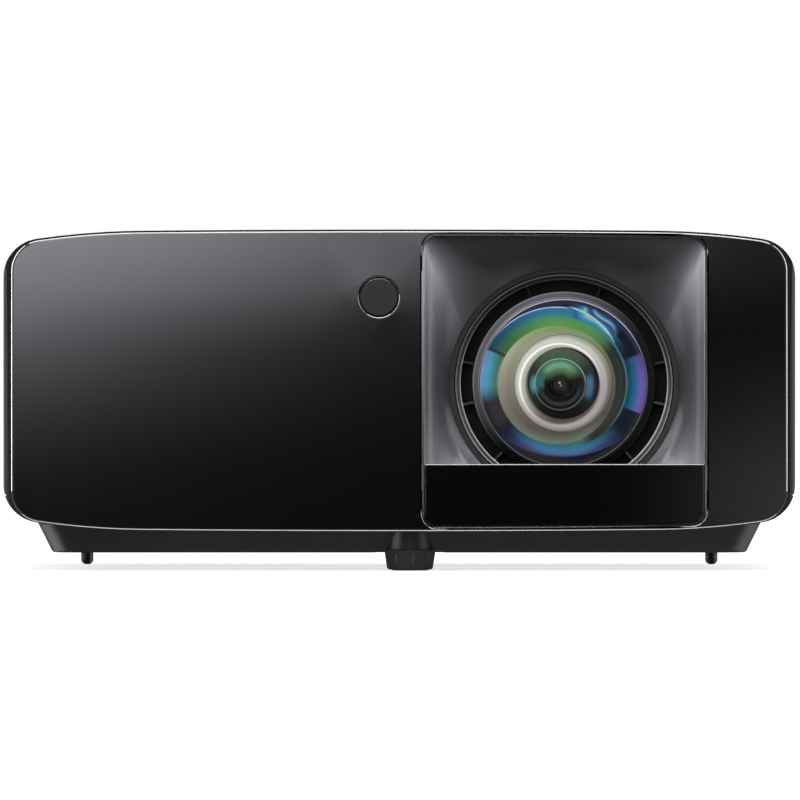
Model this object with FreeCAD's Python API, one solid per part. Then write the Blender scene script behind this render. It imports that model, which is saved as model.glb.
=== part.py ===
import FreeCAD, Part
import math
import os

from FreeCAD import Vector

# Home projector: a wide, low casing with a bowed gloss front, a deep lens recess on the right,
# vented side walls, a sunk keypad in the lid, sockets at the back and three screw feet.
# Frame: origin on the standing surface under the middle of the casing, +X to the viewer's right
# when facing the lens, +Y towards the sockets, +Z up. Millimetres.

# ---------------------------------------------------------------- casing
body_width = 275.4          # widest
body_depth = 216.0          # front face to back face
case_height = 104.9         # crown to the casing's lowest line, without the tray
case_bottom = 13.6          # that lowest line above the surface
tray_bottom = 6.2           # underside of the tray above the surface
wall = 2.5
corner_radius = 13.7        # corners seen from the front
shoulder_radius = 272.0     # gentle fall of the top towards the corners
shoulder_angle = 8.2        # slope where a corner starts, degrees
crown_radius = 10000.0      # almost flat middle of the top
bow_radius = 2300.0         # the front is a patch of a large sphere, foremost at its lower edge
flare_radius = 14.0         # the side walls curve in towards the front and back panels
flare_step = 2.1            # how far they curve in
seam_height = 12.7          # joint between lid and tray above the casing's lowest line
seam_groove = 0.4           # depth of the groove at that joint
fit_gap = 0.2               # gap round a piece that sits in an opening
touch = 0.05                # clearance between round pieces that fit together
seat_gap = 0.1              # clearance between curved faces that lie on each other

# ---------------------------------------------------------------- front and back panels
panel_thickness = 2.2
panel_side_step = 3.0       # a panel is this much narrower than the casing, each side
panel_top_step = 0.55       # and this much lower at the top
panel_foot_step = 0.25
panel_corner_radius = 10.8
panel_edge = 0.6            # rounded edge
rebate = 1.0                # shadow gap between panel and casing: depth
rebate_inset = 1.2          # and how far it goes in
rebate_wall = 2.4           # frame that closes the gap inside

# ---------------------------------------------------------------- tray
tray_side_step = 12.0       # casing side to the top of the tray's sloping wall
tray_end_step = 10.0        # the same at front and back
tray_slope = 0.48           # sideways per unit of height
tray_top = 16.3
tray_corner_radius = 10.0
tray_edge = 1.5             # rounded lower edge

# ---------------------------------------------------------------- lens recess
lens_side_distance = 80.4   # lens axis to the casing's right side
lens_height = 51.6          # lens axis above the casing's lowest line
bezel_width = 98.6
bezel_top_margin = 1.6      # casing outline to bezel
bezel_foot_margin = 1.3
bezel_corner_radius = 5.0
bezel_rim = 0.6
bezel_gap = 0.3
bezel_side_depth = 3.5      # straight part of the bezel's outside
funnel_start = 5.2          # the funnel starts this far behind the foremost point
funnel_depth = 16.0
funnel_wall = 2.2           # funnel wall at the round opening
neck_length = 2.0
lower_panel_height = 22.2   # gloss plate that closes the foot of the recess

# ---------------------------------------------------------------- lens
glass_radius = 29.4
trim_width = 2.5            # trim ring round the front glass
channel_width = 4.1         # finger channel between trim and focus ring
focus_ring_wall = 1.8
focus_ring_length = 15.0
ring_hole_gap = 2.0         # focus ring to the recess's round opening
tab_angles = (21, 78, 102, 138)   # finger tabs left and right of the top, degrees
tab_thickness = 0.8
lens_length = 70.0
barrel_step = 4.0           # barrel's mouth behind the recess's round opening
focus_cell_radius = 17.0
focus_travel = 1.2

# ---------------------------------------------------------------- infra-red window
window_radius = 6.6
window_gap = 0.5
window_x = -7.1
window_drop = 23.5          # below the crown

# ---------------------------------------------------------------- feet, screws, mounting inserts
foot_x = 3.7                # front foot, off centre
foot_inset = 17.0           # its axis behind the casing's foremost point
knob_radius = 9.0
knob_foot_radius = 7.9
knob_height = 6.9
knob_grooves = 9
foot_screw_radius = 3.0
foot_pitch = 1.5
foot_travel = 12.0
foot_pad_radius = 6.4
rear_foot_inset_x = 25.0    # from the casing's side
rear_foot_inset_y = 24.0    # from the back face
rear_foot_radius = 2.25
rear_pad_height = 2.6       # rubber cap with a round end
rear_screw_radius = 1.5
rear_pitch = 0.9
rear_travel = 5.0
nut_wall = 2.0
pillar_inset_x = 35.7       # screw pillars from the casing's sides
pillar_inset_front = 24.0
pillar_inset_rear = 17.0
pillar_radius = 4.2
screw_radius = 1.5
screw_head_radius = 2.8
counterbore = 6.0
mount_spacing_x = 150.0     # ceiling-mount inserts
mount_spacing_y = 100.0
insert_radius = 3.0
insert_bore = 1.65
insert_length = 8.0

# ---------------------------------------------------------------- vents and keypad
vent_length = 140.0
vent_height = 60.0
vent_slat = 1.5
vent_pitch = 4.7
vent_slat_angle = 32.0
vent_frame = 2.2
keypad_length = 88.0
keypad_width = 26.0
keypad_inset_y = 34.0       # its middle from the back face
keypad_sink = 0.7
keypad_corner = 6.0
key_plate = 2.0             # thickness of the keypad's plate
key_travel = 0.6
key_gap = 0.2
key_flange = 1.25
pad_x = 10.5                # middle of the four-way pad
pad_outer = 10.1
pad_inner = 5.4
enter_radius = 4.4

# ---------------------------------------------------------------- inside
fan_size = 70.0
exhaust_fan_depth = 20.0
intake_fan_depth = 15.0
fan_blades = 7
fan_wall_gap = 3.5          # casing wall to fan
board = 1.6                 # circuit board thickness
supply_board_z = 19.0
supply_depth = 58.0
main_board_z = 22.0
main_depth = 50.5
main_left = 94.0            # main board's left end from the lens axis
engine_half = 36.0          # half the engine housing's width
engine_depth = 58.0
engine_rise = 22.0          # half its height
source_offset = 8.0         # light source behind the engine's front
source_depth = 46.0
source_length = 69.3
laser_length = 22.0
sink_length = 34.0
speaker_radius = 18.0

# ---------------------------------------------------------------- values worked out from them
half_w = body_width / 2
front_y = -body_depth / 2
rear_y = body_depth / 2
case_top = case_bottom + case_height
mid_z = (case_top + case_bottom) / 2
seam_z = case_bottom + seam_height
inner_x = half_w - wall
inner_top = case_top - wall
floor_z = tray_bottom + wall
skin = panel_thickness + rebate            # from a panel's face to the casing's rim
rim_front = front_y + skin
rim_rear = rear_y - skin
bow_centre = Vector(0, front_y + bow_radius, case_bottom)
bow_room = half_w ** 2 / (2 * bow_radius)  # how far the bow falls back at the sides
panel_half = half_w - panel_side_step
panel_top = case_top - panel_top_step
panel_foot = case_bottom + panel_foot_step
beyond = 5.0                               # cutting tools reach this far past what they cut

lens_x = half_w - lens_side_distance
lens_z = case_bottom + lens_height
bezel_left = lens_x - bezel_width / 2
bezel_right = lens_x + bezel_width / 2
trim_radius = glass_radius + trim_width
ring_inner = trim_radius + channel_width
ring_outer = ring_inner + focus_ring_wall
hole_radius = ring_outer + ring_hole_gap
mouth_y = front_y + funnel_start
hole_y = front_y + funnel_depth
barrel_y = hole_y + barrel_step            # front end of the barrel
barrel_end = barrel_y + lens_length

foot_y = front_y + foot_inset
rear_foot_x = half_w - rear_foot_inset_x
rear_foot_y = rear_y - rear_foot_inset_y
window_z = case_top - window_drop
keypad_y = rear_y - keypad_inset_y
keypad_z = case_top - keypad_sink

exhaust_x = -inner_x + fan_wall_gap
intake_x = inner_x - fan_wall_gap - intake_fan_depth
fan_bottom = lens_z - fan_size / 2
exhaust_y = barrel_end
intake_y = -fan_size / 2

engine_y0 = barrel_end
engine_y1 = engine_y0 + engine_depth
engine_x0, engine_x1 = lens_x - engine_half, lens_x + engine_half
engine_low, engine_top = lens_z - engine_rise, lens_z + engine_rise
source_x1 = engine_x0
source_x0 = source_x1 - source_length
source_y0 = engine_y0 + source_offset
source_y1 = source_y0 + source_depth
beam_y = source_y0 + 12.0                  # light path through the source
laser_x0 = source_x0 - laser_length

supply_x0 = -inner_x + 12.0
supply_x1 = lens_x - hole_radius - 12.0
supply_y0 = rim_front + 26.0
supply_y1 = supply_y0 + supply_depth
supply_top = supply_board_z + board
main_x0 = lens_x - main_left
main_x1 = inner_x - 5.0
main_y1 = rear_y - 5.5
main_y0 = main_y1 - main_depth
board_top = main_board_z + board

pillars = [(sx * (half_w - pillar_inset_x), y) for sx in (-1, 1)
           for y in (front_y + pillar_inset_front, rear_y - pillar_inset_rear)]
mount_y = 5.0
mounts = [(sx * mount_spacing_x / 2, mount_y + sy * mount_spacing_y / 2)
          for sx in (-1, 1) for sy in (-1, 1)]

os.makedirs("parts", exist_ok=True)


# ---------------------------------------------------------------- helpers
def export(shape, name):
    """One STEP file per node, from closed solids only."""
    solids = shape.Solids
    kept = Part.makeCompound(solids) if len(solids) > 1 else solids[0]
    kept.exportStep("parts/%s.step" % name)
    print("%-24s solids %2d volume %10.1f %s" % (name, len(solids), kept.Volume, kept.isValid()))


def box(x0, x1, y0, y1, z0, z1):
    return Part.makeBox(x1 - x0, y1 - y0, z1 - z0, Vector(x0, y0, z0))


def rod_x(y, z, x0, x1, r):
    return Part.makeCylinder(r, x1 - x0, Vector(x0, y, z), Vector(1, 0, 0))


def rod_y(x, z, y0, y1, r):
    return Part.makeCylinder(r, y1 - y0, Vector(x, y0, z), Vector(0, 1, 0))


def rod_z(x, y, z0, z1, r):
    return Part.makeCylinder(r, z1 - z0, Vector(x, y, z0), Vector(0, 0, 1))


def cone_z(x, y, z0, z1, r0, r1):
    return Part.makeCone(r0, r1, z1 - z0, Vector(x, y, z0), Vector(0, 0, 1))


def sleeve_z(x, y, z0, z1, outer, inner):
    return rod_z(x, y, z0, z1, outer).cut(rod_z(x, y, z0 - 1, z1 + 1, inner))


def fuse(shapes):
    return shapes[0].multiFuse(shapes[1:]).removeSplitter()


def cut_all(shape, tools):
    for tool in tools:
        shape = shape.cut(tool)
    return shape


def prism_y(wire, y0, y1):
    """A wire drawn in the plane y = 0, pushed from y0 to y1."""
    face = Part.Face(wire)
    face.translate(Vector(0, y0, 0))
    return face.extrude(Vector(0, y1 - y0, 0))


def wedge_y(points, y0, y1):
    """A corner piece with (x, z) points, pushed from y0 to y1."""
    corners = [Vector(x, 0, z) for x, z in points]
    return prism_y(Part.makePolygon(corners + corners[:1]), y0, y1)


def round_edges(plate, thickness, r):
    """Round the edges of a plain plate that run through its thickness."""
    return plate.makeFillet(r, [e for e in plate.Edges if abs(e.Length - thickness) < 1e-6])


def rounded_plate(x0, x1, y0, y1, z0, z1, r):
    return round_edges(box(x0, x1, y0, y1, z0, z1), z1 - z0, r)


def level_edges(shape, z):
    """Edges that lie in the level plane at z."""
    return [e for e in shape.Edges if e.BoundBox.ZMin > z - 0.01 and e.BoundBox.ZMax < z + 0.01]


def turned(profile, x, z):
    """A closed profile of (radius, y) points turned about a line along y at x, z."""
    points = [Vector(x + r, y, z) for r, y in profile]
    return turned_wire(Part.makePolygon(points + points[:1]), x, z)


def turned_wire(wire, x, z):
    return Part.Face(wire).revolve(Vector(x, 0, z), Vector(0, 1, 0), 360)


def chain(x, z, heading, steps):
    """Edges in the plane y = 0: straight ("line", length) and tangent ("arc", radius, right turn)."""
    edges = []
    for step in steps:
        a = math.radians(heading)
        start = Vector(x, 0, z)
        if step[0] == "line":
            x, z = x + step[1] * math.cos(a), z + step[1] * math.sin(a)
            edges.append(Part.LineSegment(start, Vector(x, 0, z)).toShape())
            continue
        radius, turn = step[1], math.radians(step[2])
        cx, cz = x + radius * math.sin(a), z - radius * math.cos(a)
        middle, end = [Vector(cx + radius * math.cos(b), 0, cz + radius * math.sin(b))
                       for b in (a + math.pi / 2 - turn / 2, a + math.pi / 2 - turn)]
        edges.append(Part.Arc(start, middle, end).toShape())
        x, z, heading = end.x, end.z, heading - step[2]
    return edges


# ---------------------------------------------------------------- outlines seen from the front
def crown_turn(half, corner, shoulder, crown):
    """Slope at which the almost flat crown meets a shoulder, degrees."""
    s = math.radians(shoulder_angle)
    flat = half - shoulder * math.sin(s) - corner * (1 - math.sin(s))
    return math.degrees(math.asin(flat / (crown - shoulder)))


def crowned_wire(half, low, high, corner, inset=0.0):
    """Crowned top and foot, falling shoulders, round corners; inset moves the whole line in."""
    half, low, high, corner = half - inset, low + inset, high - inset, corner - inset
    shoulder, crown = shoulder_radius - inset, crown_radius - inset
    turn = crown_turn(half, corner, shoulder, crown)
    c, s = math.radians(turn), math.radians(shoulder_angle)
    drop = crown * (1 - math.cos(c)) + shoulder * (math.cos(c) - math.cos(s)) + corner * math.cos(s)
    fall = ("arc", shoulder, shoulder_angle - turn)
    bend = ("arc", corner, 90 - shoulder_angle)
    steps = [("arc", crown, 2 * turn), fall, bend, ("line", high - low - 2 * drop), bend, fall]
    start = high - crown * (1 - math.cos(c))
    return Part.Wire(chain(-crown * math.sin(c), start, turn, steps * 2))


def outline_rise(x):
    """Height of the casing's outline above its middle, at x to the right of the centre."""
    turn = math.radians(crown_turn(half_w, corner_radius, shoulder_radius, crown_radius))
    top = case_height / 2
    if x <= crown_radius * math.sin(turn):
        return top - crown_radius + math.sqrt(crown_radius ** 2 - x ** 2)
    reach = crown_radius - shoulder_radius
    cx, cz = reach * math.sin(turn), top - crown_radius + reach * math.cos(turn)
    return cz + math.sqrt(shoulder_radius ** 2 - (x - cx) ** 2)


def bezel_wire(grow=0.0, y=0.0):
    """The bezel's outline: upright sides, top and foot that follow the casing, round corners."""
    r = bezel_corner_radius + grow
    sides = {-1: bezel_left - grow, 1: bezel_right + grow}
    reach = (bezel_left, lens_x, bezel_right)
    spots = {}
    for up, margin in ((1, bezel_top_margin), (-1, bezel_foot_margin)):
        line = [Vector(x, 0, mid_z + up * (outline_rise(x) - margin)) for x in reach]
        curve = Part.Arc(*line).toShape().Curve
        centre, radius = curve.Center, curve.Radius + grow
        for side, edge in sides.items():
            fx = edge - side * r
            rise = math.sqrt((radius - r) ** 2 - (fx - centre.x) ** 2)
            middle = Vector(fx, 0, centre.z + up * rise)
            out = (middle - centre).normalize()
            bend = (out + Vector(side, 0, 0)).normalize()
            spots[side, up] = (middle + out * r, middle + bend * r, Vector(edge, 0, middle.z))
        spots[0, up] = centre + Vector(0, 0, up * radius)
        if not spots[-1, up][0].x < spots[0, up].x < spots[1, up][0].x:
            way = (spots[-1, up][0] + spots[1, up][0]) * 0.5 - centre
            spots[0, up] = centre + way.normalize() * radius
    tl, tr, bl, br = spots[-1, 1], spots[1, 1], spots[-1, -1], spots[1, -1]
    edges = [Part.Arc(tl[0], spots[0, 1], tr[0]), Part.Arc(*tr), Part.LineSegment(tr[2], br[2]),
             Part.Arc(*br[::-1]), Part.Arc(br[0], spots[0, -1], bl[0]), Part.Arc(*bl),
             Part.LineSegment(bl[2], tl[2]), Part.Arc(*tl[::-1])]
    wire = Part.Wire([edge.toShape() for edge in edges])
    wire.translate(Vector(0, y, 0))
    return wire


def rounded_wire(cx, cz, w, h, r):
    steps = [("line", w - 2 * r), ("arc", r, 90), ("line", h - 2 * r), ("arc", r, 90)]
    return Part.Wire(chain(cx - w / 2 + r, cz + h / 2, 0, steps * 2))


def round_wire(cx, cz, r, y, side_turn=60.0):
    """A circle in eight arcs that pair with the bezel outline's eight edges."""
    a = math.radians(90 + side_turn / 2)
    steps = [("arc", r, side_turn), ("arc", r, 90 - side_turn)]
    wire = Part.Wire(chain(cx + r * math.cos(a), cz + r * math.sin(a), side_turn / 2, steps * 4))
    wire.translate(Vector(0, y, 0))
    return wire


# ---------------------------------------------------------------- the bowed front
def ball(depth):
    """Everything behind the bowed front, from this depth inwards."""
    return Part.makeSphere(bow_radius - depth, bow_centre)


def bowed(shape, depth0, depth1):
    """The slice of a shape between two depths behind the bowed front."""
    return shape.common(ball(depth0)).cut(ball(depth1))


def front_edges(shape, depth=0.0):
    """Edges that lie on the bowed front, or at a depth behind it."""
    r = bow_radius - depth
    return [e for e in shape.Edges
            if all(abs(v.Point.distanceToPoint(bow_centre) - r) < 1e-4 for v in e.Vertexes)]


# ---------------------------------------------------------------- casing
def bend(side, way, w, r, y):
    """Start, middle and end of the bend from a straight side towards one end, seen from above."""
    points = []
    for degrees in (0.0, 22.5, 45.0):
        a = math.radians(degrees)
        points.append(Vector(side * (w - r + r * math.cos(a)), y + way * r * math.sin(a), 0))
    return points


def plan_block(inset=0.0):
    """The casing seen from above: straight sides that curve in at both ends."""
    w, r, far = half_w - inset, flare_radius - inset, Vector(12, 12, 0)
    reach = math.sqrt(flare_radius ** 2 - (flare_radius - flare_step) ** 2)
    y_front, y_rear = rim_front + bow_room + reach, rim_rear - reach
    rf, lf = bend(1, -1, w, r, y_front), bend(-1, -1, w, r, y_front)
    rr, lr = bend(1, 1, w, r, y_rear), bend(-1, 1, w, r, y_rear)
    corners = [rf[2] + Vector(-far.x, -far.y, 0), lf[2] + Vector(far.x, -far.y, 0),
               lr[2] + Vector(far.x, far.y, 0), rr[2] + Vector(-far.x, far.y, 0)]
    edges = [Part.Arc(*rf), Part.LineSegment(rf[2], corners[0]), Part.LineSegment(corners[0], corners[1]),
             Part.LineSegment(corners[1], lf[2]), Part.Arc(*lf[::-1]), Part.LineSegment(lf[0], lr[0]),
             Part.Arc(*lr), Part.LineSegment(lr[2], corners[2]), Part.LineSegment(corners[2], corners[3]),
             Part.LineSegment(corners[3], rr[2]), Part.Arc(*rr[::-1]), Part.LineSegment(rr[0], rf[0])]
    outline = Part.Wire([edge.toShape() for edge in edges])
    return Part.Face(outline).extrude(Vector(0, 0, case_top + beyond))


def casing(inset=0.0):
    """The casing as a block, its outside moved in by inset, longer than the casing at both ends."""
    wire = crowned_wire(half_w, case_bottom, case_top, corner_radius, inset)
    return prism_y(wire, front_y - beyond, rear_y + beyond).common(plan_block(inset))


def tray_block(z0, z1, inset=0.0):
    """The tray under the casing: a tapered block with round corners."""
    wires = []
    for z in (z0, z1):
        lean = tray_slope * (tray_top - z) + inset
        w, d = half_w - tray_side_step - lean, rear_y - tray_end_step - lean
        wire = rounded_wire(0, 0, 2 * w, 2 * d, tray_corner_radius - inset)
        wire.rotate(Vector(0, 0, 0), Vector(1, 0, 0), -90)
        wire.translate(Vector(0, 0, z))
        wires.append(wire)
    return Part.makeLoft(wires, True, True)


def slab(z0, z1):
    """Everything between two heights."""
    return box(-half_w - beyond, half_w + beyond, front_y - beyond, rear_y + beyond, z0, z1)


def casing_skin(z0, z1):
    """The casing between two heights, cut to the bowed rim in front and the flat rim behind."""
    ends = box(-half_w - beyond, half_w + beyond, front_y - beyond, rim_rear, z0, z1)
    skin_block = casing().common(ball(skin)).common(ends)
    groove = slab(seam_z - 0.25, seam_z + 0.25).cut(casing(seam_groove))
    return skin_block.cut(groove)


def bezel_room():
    """What the casing's rim gives up to the bezel."""
    return prism_y(bezel_wire(bezel_gap), front_y - beyond, mouth_y + bezel_side_depth + 1.4)


# ---------------------------------------------------------------- tray with its posts and bosses
def corner_posts(x0, x1, y0, y1, top, r=3.0, inset=5.0):
    """Four posts under the corners of a board."""
    return [rod_z(x, y, floor_z - 1, top, r)
            for x in (x0 + inset, x1 - inset) for y in (y0 + inset, y1 - inset)]


def engine_posts():
    spots = [(x, y) for x in (engine_x0 + 6, engine_x1 - 6) for y in (engine_y0 + 6, engine_y1 - 6)]
    spots += [(source_x0 + 7, source_y0 + 7), (source_x0 + 7, source_y1 - 7)]
    return [rod_z(x, y, floor_z - 1, engine_low, 4.0) for x, y in spots]


def fan_saddles(x0, depth, y0):
    """Two saddles under a fan, with cheeks that stop it from sliding across."""
    saddles = []
    for y in (y0 + 6, y0 + fan_size - 16):
        saddle = box(x0 - 1.8, x0 + depth + 1.8, y, y + 10, case_bottom, fan_bottom + 5)
        seat = box(x0 - 0.1, x0 + depth + 0.1, y - 1, y + 11, fan_bottom, fan_bottom + 9)
        saddles.append(saddle.cut(seat))
    return saddles


def bottom_case():
    tray = tray_block(tray_bottom, tray_top + 0.7)
    tray = tray.makeFillet(tray_edge, level_edges(tray, tray_bottom))
    outside = casing_skin(0, seam_z).fuse(tray)
    shell = outside.cut(casing(wall)).cut(tray_block(floor_z, tray_top + 3, wall))

    inside = [rod_z(foot_x, foot_y, 8.0, 19.0, 8.0)]
    inside += [rod_z(sx * rear_foot_x, rear_foot_y, floor_z - 1, 15.0, 4.5) for sx in (-1, 1)]
    inside += [rod_z(x, y, floor_z - 1, tray_bottom + insert_length + 1, 5.0) for x, y in mounts]
    inside += [rod_z(x, y, floor_z - 1, seam_z, pillar_radius) for x, y in pillars]
    inside += corner_posts(supply_x0, supply_x1, supply_y0, supply_y1, supply_board_z)
    inside += corner_posts(main_x0, main_x1, main_y0, main_y1, main_board_z)
    inside += engine_posts()
    inside += fan_saddles(exhaust_x, exhaust_fan_depth, exhaust_y)
    inside += fan_saddles(intake_x, intake_fan_depth, intake_y)
    room = fuse([casing(wall / 2), tray_block(tray_bottom + wall / 2, tray_top + 3, wall / 2)])
    inside = fuse(inside).common(room)
    boss = cone_z(foot_x, foot_y, knob_top + fit_gap, tray_top - 0.7, 8.3, 6.9)
    shell = fuse([shell, boss, inside])

    holes = [bezel_room(),
             cone_z(foot_x, foot_y, tray_bottom - 0.01, knob_top + fit_gap, 12.6, 10.2),
             rod_z(foot_x, foot_y, tray_bottom, 20.0, foot_screw_radius + 0.4),
             rod_z(foot_x, foot_y, 9.0, 20.0, foot_screw_radius + nut_wall)]
    for sx in (-1, 1):
        holes.append(rod_z(sx * rear_foot_x, rear_foot_y, 5.0, 16.0, rear_screw_radius + 0.3))
        holes.append(rod_z(sx * rear_foot_x, rear_foot_y, 7.4, 16.0, rear_screw_radius + nut_wall - 0.5))
    holes += [rod_z(x, y, tray_bottom - 1, tray_bottom + insert_length, insert_radius) for x, y in mounts]
    for x, y in pillars:
        holes.append(rod_z(x, y, tray_bottom - 1, seam_z + 1, screw_radius + 0.2))
        holes.append(rod_z(x, y, tray_bottom - 1, tray_bottom + counterbore, screw_head_radius + 0.4))
    return cut_all(shell, holes)


# ---------------------------------------------------------------- lid
def vent_block(side, grow, depth_out, depth_in):
    """The side vent's outline between two depths below the casing's side."""
    wire = rounded_wire(0, lens_z, vent_length + 2 * grow, vent_height + 2 * grow, 4.0 + grow)
    face = Part.Face(wire)
    face.rotate(Vector(0, 0, lens_z), Vector(0, 0, 1), 90)
    face.translate(Vector(side * (half_w - depth_out), 0, 0))
    return face.extrude(Vector(side * (depth_out - depth_in), 0, 0))


def top_cover():
    shell = casing_skin(seam_z, case_top + beyond).cut(casing(wall))
    posts = [rod_z(x, y, seam_z, inner_top + 1, pillar_radius) for x, y in pillars]
    posts += [rod_z(sx * (keypad_length / 2 + 5), keypad_y + sy * 8, keyboard_z, inner_top + 1, 2.6)
              for sx in (-1, 1) for sy in (-1, 1)]
    shell = fuse([shell] + posts)
    holes = [rod_z(x, y, seam_z - 1, seam_z + 14, screw_radius + touch) for x, y in pillars]
    holes += [vent_block(side, 0.0, -1.0, wall + 1) for side in (-1, 1)]
    holes.append(bezel_room())
    x, y0, y1 = keypad_length / 2, keypad_y - keypad_width / 2, keypad_y + keypad_width / 2
    holes.append(rounded_plate(-x, x, y0, y1, inner_top - 2, case_top + 2, keypad_corner))
    return cut_all(shell, holes)


def vent_panel(side):
    """Side vent: a frame in the wall's opening, a flange behind the wall and slanting upright slats."""
    window = -fit_gap - vent_frame
    face, back = 0.15, wall + 1.2
    frame = vent_block(side, -fit_gap, face, wall).cut(vent_block(side, window, -1, wall + 1))
    flange = vent_block(side, vent_frame, wall, back).cut(vent_block(side, window, wall - 1, back + 1))
    clip = vent_block(side, window + 0.2, face + 0.3, back - 0.3)
    count = int((vent_length - 2 * vent_pitch) / vent_pitch)
    chord = (wall + 0.6) / math.cos(math.radians(vent_slat_angle))
    slats = []
    for i in range(count):
        slat = box(-chord / 2, chord / 2, -vent_slat / 2, vent_slat / 2, -vent_height / 2, vent_height / 2)
        slat.rotate(Vector(0, 0, 0), Vector(0, 0, 1), side * vent_slat_angle)
        slat.translate(Vector(side * (half_w - back / 2), (i - (count - 1) / 2) * vent_pitch, lens_z))
        slats.append(slat.common(clip))
    x0, x1 = sorted((side * (half_w - 1.2), side * (half_w - back + 0.7)))
    reach = vent_length / 2 + window + 0.2
    bars = [box(x0, x1, -reach, reach, lens_z + dz - 0.8, lens_z + dz + 0.8)
            for dz in (-vent_height / 6, vent_height / 6)]
    return fuse([frame, flange] + slats + bars)


# ---------------------------------------------------------------- front
def rebate_frame(y0, y1):
    outer = crowned_wire(panel_half, panel_foot, panel_top, panel_corner_radius, rebate_inset)
    inner = crowned_wire(panel_half, panel_foot, panel_top, panel_corner_radius, rebate_inset + rebate_wall)
    return prism_y(outer, y0, y1).cut(prism_y(inner, y0 - 1, y1 + 1))


def front_panel():
    outline = crowned_wire(panel_half, panel_foot, panel_top, panel_corner_radius)
    plate = bowed(prism_y(outline, front_y - 2, front_y + 12), 0.0, panel_thickness)
    plate = plate.makeFillet(panel_edge, front_edges(plate))
    frame = bowed(rebate_frame(front_y - 2, front_y + 14), panel_thickness, skin - seat_gap)
    collar = rod_y(window_x, window_z, front_y - 2, front_y + 10, window_radius + 2.4)
    panel = fuse([plate, frame, bowed(collar, panel_thickness - 0.5, 6.0)])
    panel = panel.cut(prism_y(bezel_wire(bezel_gap), front_y - beyond, front_y + 20))
    return panel.cut(rod_y(window_x, window_z, front_y - beyond, front_y + 10, window_radius + window_gap))


def infrared_window():
    def disc(radius, depth0, depth1):
        return bowed(rod_y(window_x, window_z, front_y - 2, front_y + 12, radius), depth0, depth1)

    lens = disc(window_radius, 0.15, 5.0)
    lens = lens.makeFillet(0.35, front_edges(lens, 0.15))
    return fuse([lens, disc(window_radius - 0.6, 4.5, 6.6), disc(window_radius + 2.4, 6.0, 7.2)])


def funnel(inset, grow, y0, y1):
    """The recess as a block: straight from y0 to y1, then narrowing to the round opening."""
    mouth = prism_y(bezel_wire(-inset), y0, y1)
    neck = round_wire(lens_x, lens_z, hole_radius + grow, hole_y)
    cone = Part.makeLoft([bezel_wire(-inset, y1), neck], True, True)
    return fuse([mouth, cone, rod_y(lens_x, lens_z, hole_y - 0.5, hole_y + neck_length, hole_radius + grow)])


bezel_low = case_bottom + bezel_foot_margin
lower_panel_top = bezel_low + lower_panel_height


def lens_bezel():
    body = funnel(0.0, funnel_wall, front_y - 1, mouth_y + bezel_side_depth)
    inner = funnel(bezel_rim, 0.0, front_y - 2, mouth_y)
    inner = inner.fuse(rod_y(lens_x, lens_z, hole_y, hole_y + neck_length + 1, hole_radius))
    body = body.cut(inner).common(ball(0.0))
    seat = panel_thickness + seat_gap
    inner_block = prism_y(bezel_wire(-bezel_rim / 2), front_y - 1, front_y + 20)
    # flanges behind the front panel, left and right
    reach = (bezel_right - bezel_left) / 2 + 3
    flange = box(lens_x - reach, lens_x + reach, front_y, front_y + 10, mid_z - 38, mid_z + 38)
    flange = bowed(flange, seat, seat + 1.4).cut(inner_block)
    # lugs behind the gloss plate
    lugs = [box(x - 5, x + 5, front_y, front_y + 12, bezel_low, lower_panel_top - 6)
            for x in (bezel_left + 5, bezel_right - 5)]
    lugs += [box(x - 4, x + 4, front_y, front_y + 12, bezel_low, bezel_low + 5)
             for x in (lens_x - 22, lens_x + 22)]
    lugs = bowed(fuse(lugs), seat, seat + 2.5).common(inner_block)
    opening = box(bezel_left, bezel_right, front_y - 2, front_y + 14, 0, lower_panel_top)
    opening = bowed(opening.common(prism_y(bezel_wire(-bezel_rim), front_y - 3, front_y + 20)), -1.0, seat)
    return fuse([body.cut(opening), flange, lugs])


def lens_lower_panel():
    keep = box(bezel_left, bezel_right, front_y - beyond, front_y + 20, 0, lower_panel_top)
    plate = prism_y(bezel_wire(-bezel_rim - 0.15), front_y - 2, front_y + 14).common(keep)
    plate = bowed(plate, 0.0, panel_thickness)
    return plate.makeFillet(0.3, front_edges(plate))


# ---------------------------------------------------------------- back
port_mouth = rear_y - 0.4                  # socket mouths, just below the back face
well_depth = 1.0                           # the sockets' shallow well in the panel
port_gap = 5.5
# sockets from right to left: width and height
port_sizes = {"serial": (31.6, 13.0), "video_b": (15.6, 6.4), "video_a": (15.6, 6.4),
              "service": (14.6, 7.4), "audio": (9.0, 9.0)}
port_right = main_x1 - 52.7


def port_places():
    """Middle (x, z) and size of each socket, in a row on the main board."""
    places, x = {}, port_right
    for name, (w, h) in port_sizes.items():
        places[name] = (x - w / 2, board_top + h / 2, w, h)
        x -= w + port_gap
    return places


ports = port_places()
inlet_x, inlet_z = -half_w + 71.7, 46.0
inlet_w, inlet_h, inlet_depth = 28.0, 20.4, 17.0
speaker_x, speaker_z = lens_x + 4.0, mid_z + 18.0
lock_x, lock_z = half_w - 19.7, mid_z - 12.0
outlet_slot, outlet_pitch = 2.4, 5.2


def through_panel(x, z, w, h, r):
    return prism_y(rounded_wire(x, z, w, h, r), rear_y - 4, rear_y + 1)


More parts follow.
